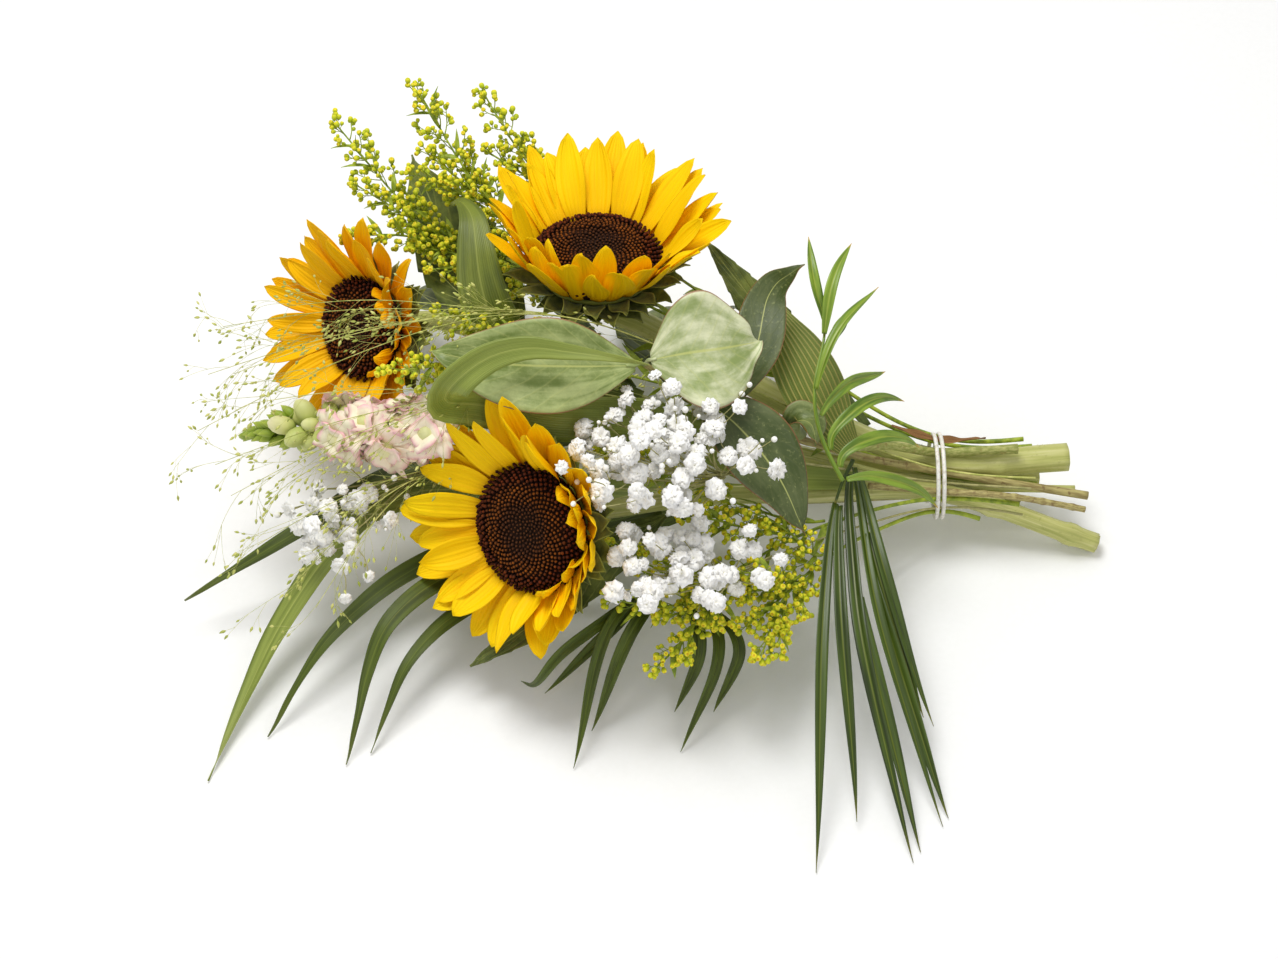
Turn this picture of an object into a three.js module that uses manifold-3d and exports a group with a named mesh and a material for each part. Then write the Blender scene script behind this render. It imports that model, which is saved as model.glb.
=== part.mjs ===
// A bunch of sunflowers and mixed foliage, lying on its side and held by a rubber tie.
// Millimetres, +Z up. The cut stem ends point to +X and the viewer stands on the -Y side.
// The sizes and routes that the bunch is worked out from stand first, then the shapes, then the plants.
import * as THREE from "three";
import { mergeVertices } from "three/addons/utils/BufferGeometryUtils.js";
import Module from "manifold-3d";

const wasm = await Module();
wasm.setup();

// ---- driving sizes ----
const GAP = 0.4; // clearance that touching plants keep
const TIE = { x: 158, y: 23.4, z: 35.4, radius: 22.2, cord: 1.1, turns: 2, pitch: 3.2 };
const LEAF_STAND_OFF = 2.4; // from the skin of a stem to the foot of a leaf beside it
const CUT_LEAN = 0.25; // how far the stem ends spread past the tie
const STEM_SIDES = 8;
const TWIG_SIDES = 5;
const PETAL_RISE = 1.05; // rise of a ray petal for each millimetre outwards
const PETAL_THICKNESS = 2.4;
const LEAF_THICKNESS = 1.8;
const BUD_RADIUS = 3.4;
const FLORET_RADIUS = 5.6;
const SNAP_RADIUS = 8.5;
const PLEAT_THICKNESS = 2.4;

// Where each stem passes the tie: [y, z] in the tie's plane.
const SLOT = {
  top: [29, 40],
  left: [31.5, 25],
  low: [14, 33],
  eucalyptus: [19.5, 43.6],
  palm: [27, 50.4],
  snapdragon: [21.2, 30.6],
  noded: [6.4, 42.6],
  goldenrod: [[38.6, 32.4], [40, 36.8], [36.4, 45.6], [25.2, 29.6], [6.6, 28.6], [7.2, 37.4]],
  gypsophila: [[11.6, 42.4], [5.2, 33], [22.6, 21]],
  panicum: [[14, 46.6], [24.6, 26.6], [19.4, 26]],
};

// Each flower head: centre of its disc, the way it faces, disc radius and reach of the petals.
const HEADS = {
  top: { centre: [-22, 87, 135], faces: [0, 0.14, 0.99], disc: 33, reach: 62, petals: 24 },
  left: { centre: [-145, 75, 95], faces: [-0.614, -0.597, 0.516], disc: 26, reach: 51, petals: 20 },
  low: { centre: [-53, -55, 88], faces: [-0.549, -0.658, 0.516], disc: 32, reach: 60, petals: 22 },
};

// Thick stems, from the cut end to the head.
const STEMS = {
  top: { radius: 7.4, end: [228, 34, 38], route: [[90, 47, 58], [30, 70, 82], [-12, 82, 100]] },
  left: {
    radius: 5.6,
    end: [214, 36, 19],
    route: [[90, 38, 33], [10, 60, 46], [-60, 86, 62], [-104, 96, 78]],
  },
  low: { radius: 5.2, end: [244, 1, 5.6], route: [[90, 2, 46], [30, -12, 60], [-12, -27, 69]] },
};

// ---- colours ----
const finish = (color, roughness = 0.7) => ({ color, roughness, metalness: 0 });
const COLOURS = {
  petal: finish("#ffc805", 0.55),
  goldenPetal: finish("#f5a400", 0.55),
  disc: finish("#3a2016", 0.9),
  bract: finish("#6f8a45", 0.8),
  stem: finish("#9fb56a", 0.6),
  woodyStem: finish("#8a7a4a", 0.7),
  strap: finish("#5f8f2e", 0.5),
  waxyLeaf: finish("#5d7f5a", 0.45),
  serratedLeaf: finish("#56723c", 0.7),
  goldenrod: finish("#b8b528", 0.8),
  gypsophila: finish("#f3f1ea", 0.8),
  snapdragon: finish("#ece6c8", 0.7),
  panicum: finish("#a9b04a", 0.7),
  palm: finish("#4f8a3a", 0.5),
  palmRib: finish("#a8a35a", 0.5),
  dried: finish("#9a7440", 0.8),
  tie: finish("#efede6", 0.5),
};

// ---- shapes ----
const vec = (p) => (p.isVector3 ? p.clone() : new THREE.Vector3(...p));
const UP = new THREE.Vector3(0, 0, 1);
const TOWARDS_VIEWER = new THREE.Vector3(0, -0.643, 0.766);

// A closed skin over a row of rings, each with the same number of corners, and a point at both ends.
function skin(rings, firstPoint, lastPoint) {
  const count = rings[0].length;
  const points = [firstPoint, ...rings.flat(), lastPoint];
  const last = points.length - 1;
  const at = (ring, corner) => 1 + ring * count + (corner % count);
  const faces = [];
  for (let c = 0; c < count; c += 1) {
    faces.push([0, at(0, c + 1), at(0, c)]);
    faces.push([last, at(rings.length - 1, c), at(rings.length - 1, c + 1)]);
    for (let r = 0; r < rings.length - 1; r += 1) {
      faces.push([at(r, c), at(r, c + 1), at(r + 1, c + 1)]);
      faces.push([at(r, c), at(r + 1, c + 1), at(r + 1, c)]);
    }
  }
  return closed(points, faces);
}

// A geometry from corners and triangles, turned so that its faces point out.
function closed(points, faces) {
  let volume = 0;
  for (const [a, b, c] of faces) {
    volume += points[a].dot(points[b].clone().cross(points[c]));
  }
  const outward = volume > 0 ? faces : faces.map(([a, b, c]) => [a, c, b]);
  const geometry = new THREE.BufferGeometry().setFromPoints(points);
  geometry.setIndex(outward.flat());
  return geometry;
}

// Sweeps an outline along a smooth route. outline(t) gives [across, up] corners; facing(t) the upper side.
function sweep(route, outline, steps, facing = null, tipLength = 0.4) {
  const path = new THREE.CatmullRomCurve3(route.map(vec), false, "centripetal");
  const rings = [];
  let up = Math.abs(path.getTangentAt(0).z) < 0.9 ? UP.clone() : new THREE.Vector3(0, 1, 0);
  for (let i = 0; i <= steps; i += 1) {
    const t = i / steps;
    const centre = path.getPointAt(t);
    const ahead = path.getTangentAt(t);
    const wanted = facing ? facing(t) : up;
    const across = ahead.clone().cross(wanted).normalize();
    up = across.clone().cross(ahead).normalize();
    const corner = ([a, u]) => centre.clone().addScaledVector(across, a).addScaledVector(up, u);
    rings.push(outline(t).map(corner));
  }
  const first = path.getPointAt(0).addScaledVector(path.getTangentAt(0), -tipLength);
  const last = path.getPointAt(1).addScaledVector(path.getTangentAt(1), tipLength);
  return skin(rings, first, last);
}

// A round rod whose radius is a function of the way along it.
function rod(route, radius, steps, sides = TWIG_SIDES) {
  const circle = (t) => {
    const corners = [];
    for (let k = 0; k < sides; k += 1) {
      const turn = (2 * Math.PI * k) / sides;
      corners.push([radius(t) * Math.cos(turn), radius(t) * Math.sin(turn)]);
    }
    return corners;
  };
  return sweep(route, circle, steps);
}

// A leaf: a shallow keeled section, widest at peak of its length, drawn out to a tip.
function blade(route, settings) {
  const { width, peak = 0.45, base = 0.3, steps = 10, thickness = LEAF_THICKNESS, faces = [] } = settings;
  const sides = faces.length ? faces.map((f) => vec(f).normalize()) : [TOWARDS_VIEWER];
  const facing = (t) => {
    const place = t * (sides.length - 1);
    const from = Math.min(Math.floor(place), sides.length - 1);
    const to = Math.min(from + 1, sides.length - 1);
    return sides[from].clone().lerp(sides[to], place - from).normalize();
  };
  const half = (t) => {
    const rising = base + (1 - base) * Math.sin(Math.min(t / peak, 1) * Math.PI * 0.5);
    const falling = t > peak ? Math.cos(((t - peak) / (1 - peak)) * Math.PI * 0.5) : 1;
    return Math.max(0.6, width * 0.5 * Math.min(rising, falling));
  };
  const section = (t) => [[half(t), 0], [0, thickness * 0.35], [-half(t), 0], [0, -thickness * 0.65]];
  return sweep(route, section, steps, facing);
}

// ---- joining solids ----
function solidOf(geometry) {
  const merged = mergeVertices(geometry, 1e-4);
  const mesh = new wasm.Mesh({
    numProp: 3,
    vertProperties: Float32Array.from(merged.attributes.position.array),
    triVerts: Uint32Array.from(merged.index.array),
  });
  return new wasm.Manifold(mesh);
}

function joined(geometries) {
  const solid = geometries.map(solidOf).reduce((whole, piece) => whole.add(piece));
  const mesh = solid.getMesh();
  const geometry = new THREE.BufferGeometry();
  geometry.setAttribute("position", new THREE.BufferAttribute(mesh.vertProperties, 3));
  geometry.setIndex(new THREE.BufferAttribute(mesh.triVerts, 1));
  return geometry;
}

// ---- the bunch ----
const bunch = new THREE.Group();
bunch.name = "bunch_of_sunflowers";

function add(name, geometry, colour, parent = bunch) {
  const mesh = new THREE.Mesh(geometry, new THREE.MeshStandardMaterial(colour));
  mesh.name = name;
  parent.add(mesh);
  return mesh;
}

// Where a stem passes the tie, and where it is cut when its end isn't given.
const tiePoint = ([y, z]) => [TIE.x, y, z];
const cutPoint = ([y, z], x) => [x, y + (y - TIE.y) * CUT_LEAN, z + (z - TIE.z) * CUT_LEAN - 2];

// ---- sunflower heads ----
function discGeometry(radius) {
  const rim = [[radius * 0.95, -6.5], [radius, -1], [radius * 0.86, 6], [radius * 0.5, 9]];
  const profile = [[0, -6.5], ...rim, [0, 8]];
  return new THREE.LatheGeometry(profile.map(([r, z]) => new THREE.Vector2(r, z)), 22).rotateX(Math.PI / 2);
}

// A flared ring cut into points: the ray petals, or the bracts behind them.
function flare({ inner, outer, notch, points, height, thickness, rings }) {
  const turnCount = points * 2;
  const faces = [];
  const corners = [];
  const layer = turnCount * (rings + 1);
  for (const offset of [0, -thickness]) {
    for (let k = 0; k < turnCount; k += 1) {
      const reach = k % 2 ? notch : outer;
      const turn = (Math.PI * k) / points;
      for (let r = 0; r <= rings; r += 1) {
        const radius = inner + ((reach - inner) * r) / rings;
        corners.push(new THREE.Vector3(
          radius * Math.cos(turn), radius * Math.sin(turn), height(radius) + offset,
        ));
      }
    }
  }
  const at = (side, k, r) => side * layer + (k % turnCount) * (rings + 1) + r;
  const quad = (a, b, c, d) => faces.push([a, b, c], [a, c, d]);
  for (let k = 0; k < turnCount; k += 1) {
    for (let r = 0; r < rings; r += 1) {
      quad(at(0, k, r), at(0, k, r + 1), at(0, k + 1, r + 1), at(0, k + 1, r));
      quad(at(1, k, r), at(1, k + 1, r), at(1, k + 1, r + 1), at(1, k, r + 1));
    }
    quad(at(0, k, 0), at(0, k + 1, 0), at(1, k + 1, 0), at(1, k, 0));
    quad(at(0, k, rings), at(1, k, rings), at(1, k + 1, rings), at(0, k + 1, rings));
  }
  return closed(corners, faces);
}

function calyxGeometry(radius, points) {
  const bottom = -radius * 0.3 - 12;
  const reach = radius + 12;
  const notch = radius + 3;
  const turnCount = points * 2;
  const ring = (size, z, tipSize = size, tipZ = z) => {
    const corners = [];
    for (let k = 0; k < turnCount; k += 1) {
      const turn = (Math.PI * k) / points;
      const r = k % 2 ? size : tipSize;
      corners.push(new THREE.Vector3(r * Math.cos(turn), r * Math.sin(turn), k % 2 ? z : tipZ));
    }
    return corners;
  };
  const rings = [
    ring(7.5, bottom),
    ring(radius * 0.62, bottom + 4),
    ring(radius * 0.95, -12),
    ring(notch, -9.8, reach, -4.6),
    ring(notch - 1.5, -8.6, reach - 1.5, -3.6),
    ring(radius * 0.9, -7.4),
  ];
  return skin(rings, new THREE.Vector3(0, 0, bottom - 0.2), new THREE.Vector3(0, 0, -7.4));
}

const calyxDepth = (radius) => radius * 0.3 + 12.2;

for (const [name, head] of Object.entries(HEADS)) {
  const group = new THREE.Group();
  group.position.set(...head.centre);
  group.quaternion.setFromUnitVectors(UP, vec(head.faces).normalize());
  bunch.add(group);
  const start = head.disc + GAP;
  const petals = flare({
    inner: start,
    outer: head.reach,
    notch: start + (head.reach - start) * 0.72,
    points: head.petals,
    height: (radius) => (radius - start) * PETAL_RISE - 2.6,
    thickness: PETAL_THICKNESS,
    rings: 3,
  });
  add(`sunflower_${name}_disc`, discGeometry(head.disc), COLOURS.disc, group);
  add(`sunflower_${name}_petals`, petals, name === "left" ? COLOURS.goldenPetal : COLOURS.petal, group);
  add(`sunflower_${name}_calyx`, calyxGeometry(head.disc, 12), COLOURS.bract, group);
}

// ---- sunflower stems ----
const stemRoutes = {};
for (const [name, stem] of Object.entries(STEMS)) {
  const head = HEADS[name];
  const faces = vec(head.faces).normalize();
  const top = vec(head.centre).addScaledVector(faces, -calyxDepth(head.disc) - stem.radius * 0.12 - GAP);
  const below = top.clone().addScaledVector(faces, -9);
  const route = [stem.end, tiePoint(SLOT[name]), ...stem.route, below, top];
  stemRoutes[name] = { route, radius: stem.radius };
  const taper = (t) => stem.radius * (1 - 0.14 * t);
  add(`sunflower_${name}_stem`, rod(route, taper, 16, STEM_SIDES), COLOURS.stem);
}

// A point beside a sunflower stem, on the side that a leaf leaves it from.
function beside(name, along, away) {
  const { route, radius } = stemRoutes[name];
  const path = new THREE.CatmullRomCurve3(route.map(vec), false, "centripetal");
  const tangent = path.getTangentAt(along);
  const out = vec(away).normalize();
  out.addScaledVector(tangent, -out.dot(tangent)).normalize();
  return path.getPointAt(along).addScaledVector(out, radius + LEAF_STAND_OFF);
}

// ---- the tie: a cord wound round the stems ----
const tieRoute = [];
const TIE_STEPS = 44;
for (let i = 0; i <= TIE_STEPS; i += 1) {
  const turn = (2 * Math.PI * TIE.turns * i) / TIE_STEPS - Math.PI * 0.5;
  const x = TIE.x - TIE.pitch + (TIE.pitch * TIE.turns * i) / TIE_STEPS;
  tieRoute.push([x, TIE.y + TIE.radius * Math.cos(turn), TIE.z + TIE.radius * Math.sin(turn)]);
}
add("tie", rod(tieRoute, () => TIE.cord, TIE_STEPS, 6), COLOURS.tie);

// ---- eucalyptus ----
const eucalyptusRoute = [
  [238, 14, 30], tiePoint(SLOT.eucalyptus), [118, 17, 58], [66, 11, 88], [26, 6, 122], [3, 6, 142],
];
add("eucalyptus_stem", rod(eucalyptusRoute, (t) => 2.3 - 0.8 * t, 14, 6), COLOURS.woodyStem);
const EUCALYPTUS_LEAVES = [
  {
    route: [[-2, 1, 147], [-34, -4, 152], [-70, -3, 153], [-105, 8, 150]],
    width: 48,
    faces: [[0, -0.64, 0.77]],
  },
  {
    route: [[6, 4, 148], [24, 4, 153], [42, 10, 150], [62, 24, 140]],
    width: 60,
    faces: [[0.1, -0.6, 0.8]],
  },
  {
    route: [[30, 2, 122], [48, -10, 116], [70, -30, 98], [84, -49, 74]],
    width: 40,
    faces: [[0.45, -0.6, 0.6]],
  },
  {
    route: [[50, 12, 108], [60, 34, 124], [68, 60, 140], [84, 62, 156]],
    width: 26,
    faces: [[-0.2, -0.7, 0.6]],
  },
  {
    route: [[76, 14, 86], [83, 10, 95], [88, 3, 99], [90, -8, 97]],
    width: 22,
    faces: [[0.5, -0.5, 0.7]],
  },
];
EUCALYPTUS_LEAVES.forEach((leaf, i) => {
  const shape = { base: 0.12, peak: 0.42, steps: 9, ...leaf };
  add(`eucalyptus_leaf_${i + 1}`, blade(leaf.route, shape), COLOURS.waxyLeaf);
});

// ---- strap leaves ----
const STRAPS = [
  {
    route: [
      beside("left", 0.6, [0, -0.4, 1]), [-60, 56, 88], [-76, 62, 114], [-84, 84, 133], [-86, 104, 143],
      [-92, 120, 142], [-100, 132, 130],
    ],
    width: 27,
    faces: [[0.3, -0.8, 0.5], [-0.1, -0.64, 0.77], [-0.1, -0.2, 1], [-0.2, 0.5, 0.8]],
    steps: 12,
  },
  {
    route: [
      beside("low", 0.44, [0, 0, 1]),
      [60, -4, 72], [36, -2, 92], [0, -8, 116], [-40, -12, 122], [-80, -10, 130],
      [-96, -18, 142], [-92, -22, 158], [-66, -8, 168], [-28, -10, 168], [5, -14, 164],
    ],
    width: 24,
    faces: [[0, -0.6, 0.8], [0, -0.7, 0.7], [0.2, -0.9, 0.3], [0, -0.6, 0.8]],
    steps: 18,
  },
  {
    route: [
      beside("low", 0.58, [0, 0.6, -0.6]), [-30, 4, 46], [-90, -2, 54], [-133, -14, 58], [-177, -58, 32],
      [-202, -106, 10], [-217, -149, 1.4],
    ],
    width: 21,
    faces: [[0, -0.2, 1], [-0.2, -0.2, 1], [-0.5, -0.2, 0.8], [-0.4, -0.1, 0.9]],
    steps: 14,
  },
  {
    route: [
      beside("left", 0.58, [0, -1, -0.1]),
      [-70, 22, 56], [-130, 6, 54], [-180, -26, 46], [-236, -50, 22],
    ],
    width: 13,
    faces: [[0, -0.3, 1], [-0.3, -0.4, 0.9]],
  },
  {
    route: [
      beside("low", 0.7, [0, 0.3, -0.8]),
      [-60, -14, 34], [-110, -34, 34], [-158, -78, 28], [-189, -122, 1.4],
    ],
    width: 12,
    faces: [[0, -0.3, 1], [-0.4, -0.4, 0.9]],
  },
  {
    route: [
      beside("low", 0.8, [0, -0.2, -1]),
      [-58, -30, 36], [-96, -50, 44], [-128, -84, 44], [-148, -139, 1.4],
    ],
    width: 11,
    faces: [[0, -0.3, 1], [-0.2, -0.6, 0.7]],
  },
  {
    route: [
      beside("low", 0.72, [0, -0.3, -1]),
      [-50, -26, 20], [-90, -60, 28], [-116, -92, 28], [-136, -132, 1.4],
    ],
    width: 10,
    faces: [[0, -0.3, 1], [-0.2, -0.6, 0.7]],
  },
  {
    route: [beside("top", 0.4, [0, 1, 0]), [92, 84, 62], [66, 130, 50], [40, 172, 1.4]],
    width: 16,
    faces: [[0, 0.3, 1], [-0.1, 0.7, 0.7]],
  },
  {
    route: [beside("left", 0.62, [0, 1, 0]), [-38, 118, 58], [-60, 156, 40], [-76, 190, 1.4]],
    width: 15,
    faces: [[0, 0.3, 1], [-0.1, 0.7, 0.7]],
  },
];
STRAPS.forEach((leaf, i) => {
  add(`strap_leaf_${i + 1}`, blade(leaf.route, { base: 0.35, peak: 0.5, ...leaf }), COLOURS.strap);
});

// ---- serrated sunflower leaves ----
const SUNFLOWER_LEAVES = [
  { route: [beside("left", 0.8, [0, 0.8, 0.5]), [-93, 132, 84], [-110, 158, 96], [-124, 186, 114]],
    width: 52,
    faces: [[0.1, -0.6, 0.8]] },
  { route: [beside("left", 0.5, [0, 1, 0]), [24, 86, 50], [14, 106, 50], [0, 140, 34], [-8, 172, 1.6]],
    width: 52,
    faces: [[0, 0.3, 1], [0, 0.7, 0.7]] },
  { route: [beside("left", 0.84, [0.2, 1, -0.3]), [-118, 130, 62], [-134, 156, 34], [-146, 176, 1.6]],
    width: 44,
    faces: [[-0.2, 0.5, 0.9], [-0.2, 0.8, 0.5]] },
  { route: [beside("low", 0.8, [0, -0.8, -0.6]), [-26, -48, 44], [-52, -72, 34], [-86, -94, 24]], width: 30,
    faces: [[-0.3, -0.4, 0.9]] },
  { route: [beside("top", 0.46, [0, 0.7, 0.7]), [74, 72, 92], [52, 88, 116], [34, 106, 130]], width: 26,
    faces: [[0.2, -0.6, 0.8]] },
];
SUNFLOWER_LEAVES.forEach((leaf, i) => {
  const form = blade(leaf.route, { base: 0.1, peak: 0.4, ...leaf });
  add(`sunflower_leaf_${i + 1}`, form, COLOURS.serratedLeaf);
});

// ---- goldenrod: a stem with side sprays of buds ----
const GOLDENROD = [
  {
    route: [[90, 64, 48], [0, 100, 68], [-70, 122, 88], [-126, 142, 112], [-162, 184, 136]],
    cut: 206,
    branches: [[0.8, [-138, 124, 120], [-150, 112, 126]]],
  },
  {
    route: [[90, 68, 58], [10, 100, 80], [-50, 124, 102], [-92, 148, 128], [-117, 183, 162]],
    cut: 210,
    branches: [[0.8, [-104, 144, 138], [-118, 138, 146]], [0.66, [-82, 108, 112], [-106, 92, 122]]],
  },
  {
    route: [[90, 72, 68], [20, 116, 90], [-28, 144, 108], [-64, 164, 126], [-82, 192, 150]],
    cut: 204,
    branches: [],
  },
  {
    route: [[90, 27, 68], [20, 30, 100], [-40, 30, 120], [-90, 20, 134], [-122, 4, 140]],
    cut: 212,
    branches: [[0.72, [-72, 42, 128], [-100, 50, 132]]],
  },
  {
    route: [[126, -16, 40], [97, -43, 52], [68, -79, 54], [60, -112, 57]],
    cut: 180,
    branches: [[0.62, [80, -50, 72], [58, -44, 86]], [0.74, [70, -70, 74], [52, -76, 78]]],
  },
  {
    route: [[110, -18, 54], [60, -50, 60], [30, -84, 56], [8, -114, 50]],
    cut: 200,
    branches: [
      [0.58, [44, -44, 76], [24, -52, 92]], [0.52, [18, -24, 86], [-16, -12, 98]],
      [0.8, [10, -68, 66], [-12, -58, 76]], [0.84, [8, -84, 62], [-12, -80, 62]],
    ],
  },
];
GOLDENROD.forEach(({ route, cut, branches }, i) => {
  const whole = [cutPoint(SLOT.goldenrod[i], cut), tiePoint(SLOT.goldenrod[i]), ...route];
  const path = new THREE.CatmullRomCurve3(whole.map(vec), false, "centripetal");
  const pieces = [rod(whole, (t) => (t > 0.86 ? BUD_RADIUS * 0.8 : 1.1), 10)];
  const SPRAYS = 5;
  for (let k = 0; k < SPRAYS; k += 1) {
    const along = 0.66 + (0.28 * k) / SPRAYS;
    const root = path.getPointAt(along);
    const ahead = path.getTangentAt(along);
    const side = ahead.clone().cross(UP).normalize().multiplyScalar(k % 2 ? 1 : -1);
    const length = 30 - 16 * (k / SPRAYS);
    const tip = root.clone().addScaledVector(ahead, length * 0.8).addScaledVector(side, length * 0.55);
    tip.z += length * 0.12;
    const middle = root.clone().lerp(tip, 0.5);
    middle.z += length * 0.08;
    pieces.push(rod([root, middle, tip], (t) => (t < 0.25 ? 0.9 : BUD_RADIUS), 3, 4));
  }
  for (const [along, middle, tip] of branches) {
    const twig = (t) => (t < 0.5 ? 0.9 : BUD_RADIUS * 0.8);
    pieces.push(rod([path.getPointAt(along), middle, tip], twig, 5, 4));
  }
  add(`goldenrod_${i + 1}`, joined(pieces), COLOURS.goldenrod);
});

// ---- gypsophila: fine twigs, each ending in a round floret ----
const GYPSOPHILA = [
  { route: [[112, 2, 66], [66, -16, 94], [36, -40, 106]], cut: 206, centre: [11, -41, 134],
    spread: [44, 32, 14], florets: 25 },
  { route: [[116, -22, 50], [74, -52, 66], [44, -74, 70]], cut: 202, centre: [22, -84, 96],
    spread: [38, 25, 10], florets: 15 },
  { route: [[90, 10, 27], [10, 12, 32], [-70, 14, 66], [-120, -8, 74]], cut: 204, centre: [-156, -34, 72],
    spread: [20, 28, 6], florets: 11 },
];
const GOLDEN_TURN = Math.PI * (3 - Math.sqrt(5));
GYPSOPHILA.forEach(({ route, cut, centre, spread, florets }, i) => {
  const whole = [cutPoint(SLOT.gypsophila[i], cut), tiePoint(SLOT.gypsophila[i]), ...route];
  const root = vec(route[route.length - 1]);
  const pieces = [rod(whole, () => 0.9, 9, 4)];
  for (let k = 0; k < florets; k += 1) {
    const radius = Math.sqrt((k + 0.5) / florets);
    const turn = k * GOLDEN_TURN;
    const tip = new THREE.Vector3(
      centre[0] + spread[0] * radius * Math.cos(turn),
      centre[1] + spread[1] * radius * Math.sin(turn),
      centre[2] - spread[2] * radius * radius + (k % 3) * 2,
    );
    const below = tip.clone().lerp(root, 0.35);
    below.z -= 4;
    const flower = tip.clone().addScaledVector(tip.clone().sub(below).normalize(), FLORET_RADIUS);
    const swell = (t) => FLORET_RADIUS * Math.sin(Math.min(1, (1.04 - t) / 0.3) * Math.PI);
    const twig = (t) => (t > 0.7 ? swell(t) + 0.6 : 0.6);
    pieces.push(rod([root, below, tip, flower], twig, 6, 4));
  }
  add(`gypsophila_${i + 1}`, joined(pieces), COLOURS.gypsophila);
});

// ---- snapdragon: a bare stem, and the spike of florets and buds at its end ----
const snapdragonRoute = [
  cutPoint(SLOT.snapdragon, 232),
  tiePoint(SLOT.snapdragon),
  [90, 20, 56], [20, 18, 82], [-40, 14, 98], [-68, 6, 104],
];
add("snapdragon_stem", rod(snapdragonRoute, (t) => 2.1 - 0.6 * t, 12, 6), COLOURS.stem);
const spikeRoute = [[-69.5, 5.4, 104.2], [-104, -6, 106], [-140, 0, 98], [-172, 8, 86], [-204, 20, 72]];
const spikePath = new THREE.CatmullRomCurve3(spikeRoute.map(vec), false, "centripetal");
const spikePieces = [rod(spikeRoute, (t) => (t < 0.5 ? 1.6 : 6 * (1.1 - t) + 1.4), 12, 6)];
const SNAP_FLORETS = 11;
for (let k = 0; k < SNAP_FLORETS; k += 1) {
  const along = 0.2 + (0.42 * k) / SNAP_FLORETS;
  const turn = k * GOLDEN_TURN;
  const out = new THREE.Vector3(-0.3, Math.cos(turn), Math.sin(turn)).normalize();
  const root = spikePath.getPointAt(along);
  const tip = root.clone().addScaledVector(out, SNAP_RADIUS * 1.7);
  const swell = (t) => SNAP_RADIUS * (0.3 + 0.7 * Math.sin(Math.PI * Math.min(t, 0.8)));
  spikePieces.push(rod([root, tip], swell, 3, 6));
}
add("snapdragon_spike", joined(spikePieces), COLOURS.snapdragon);

// ---- panicum: a stem with hair-fine branches ----
const PANICUM = [
  { route: [[90, 22, 84], [20, 34, 120], [-30, 42, 142], [-80, 30, 156]], cut: 208,
    tips: [[-226, 6, 92], [-222, 34, 104], [-216, 62, 110], [-180, 52, 136], [-206, 20, 120]] },
  { route: [[90, 24, 50], [20, 24, 88], [-40, 20, 112], [-84, -2, 130]], cut: 206,
    tips: [[-214, -22, 98], [-206, -34, 88], [-196, -4, 124], [-176, -40, 104]] },
  { route: [[100, 22, 31], [50, 26, 52], [10, 14, 66], [-60, 6, 78], [-112, -22, 94]], cut: 200,
    tips: [[-176, -86, 74], [-190, -66, 88], [-160, -96, 76]] },
];
PANICUM.forEach(({ route, cut, tips }, i) => {
  const whole = [cutPoint(SLOT.panicum[i], cut), tiePoint(SLOT.panicum[i]), ...route];
  const root = vec(route[route.length - 1]);
  const pieces = [rod(whole, () => 0.8, 12, 4)];
  for (const tip of tips) {
    const middle = root.clone().lerp(vec(tip), 0.5);
    middle.z += 9;
    pieces.push(rod([root, middle, tip], () => 0.6, 5, 4));
  }
  add(`panicum_${i + 1}`, joined(pieces), COLOURS.panicum);
});

// ---- palm frond ----
const rachisRoute = [cutPoint(SLOT.palm, 200), tiePoint(SLOT.palm), [130, 18, 66], [112, 8, 76]];
add("palm_rachis", rod(rachisRoute, (t) => 2.6 - 0.6 * t, 8, 6), COLOURS.palmRib);
const bandRoute = [[109, 4, 80], [98, 14, 92], [84, 38, 108], [72, 60, 116], [64, 80, 120]];
const band = blade(bandRoute, {
  width: 35, base: 0.35, peak: 0.4, steps: 8, thickness: PLEAT_THICKNESS, faces: [[0.3, -0.6, 0.75]],
});
add("palm_band", band, COLOURS.palm);
// The leaflets of each group leave a thin rib, in order along it, and bow away before they reach their tips.
const LEAFLET_GROUPS = {
  palm_leaflets_low: {
    rib: [[112, 3, 71], [106, -10, 72], [98, -22, 71]],
    width: 7,
    bow: [-6, -4, 14],
    tips: [[143, -124, 22], [148, -128, 20], [154, -171, 1.2], [151, -176, 1.2], [139, -191, 1.2],
      [135, -197, 1.2], [108, -176, 6], [87, -203, 1.2]],
  },
  palm_leaflets_high: {
    rib: [[104, -24, 88], [97, -14, 97], [89, -3, 110], [87, 14, 120], [92, 32, 124], [98, 50, 126]],
    width: 7,
    bow: [-2, 3, 13],
    tips: [[155, -18, 58], [146, 8, 76], [138, 26, 92], [128, 36, 104], [108, 56, 128], [124, 68, 134],
      [100, 64, 134], [110, 86, 148], [88, 88, 150]],
  },
};
for (const [name, { rib, width, bow, tips }] of Object.entries(LEAFLET_GROUPS)) {
  const path = new THREE.CatmullRomCurve3(rib.map(vec), false, "centripetal");
  const leaflets = tips.map((tip, k) => {
    const root = path.getPointAt(0.02 + (0.96 * k) / (tips.length - 1));
    const middle = root.clone().lerp(vec(tip), 0.4).add(vec(bow));
    return blade([root, middle, tip], { width, base: 0.4, peak: 0.5, steps: 5 });
  });
  add(name, joined([rod(rib, () => 1.4, 6), ...leaflets]), COLOURS.palm);
}

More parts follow.
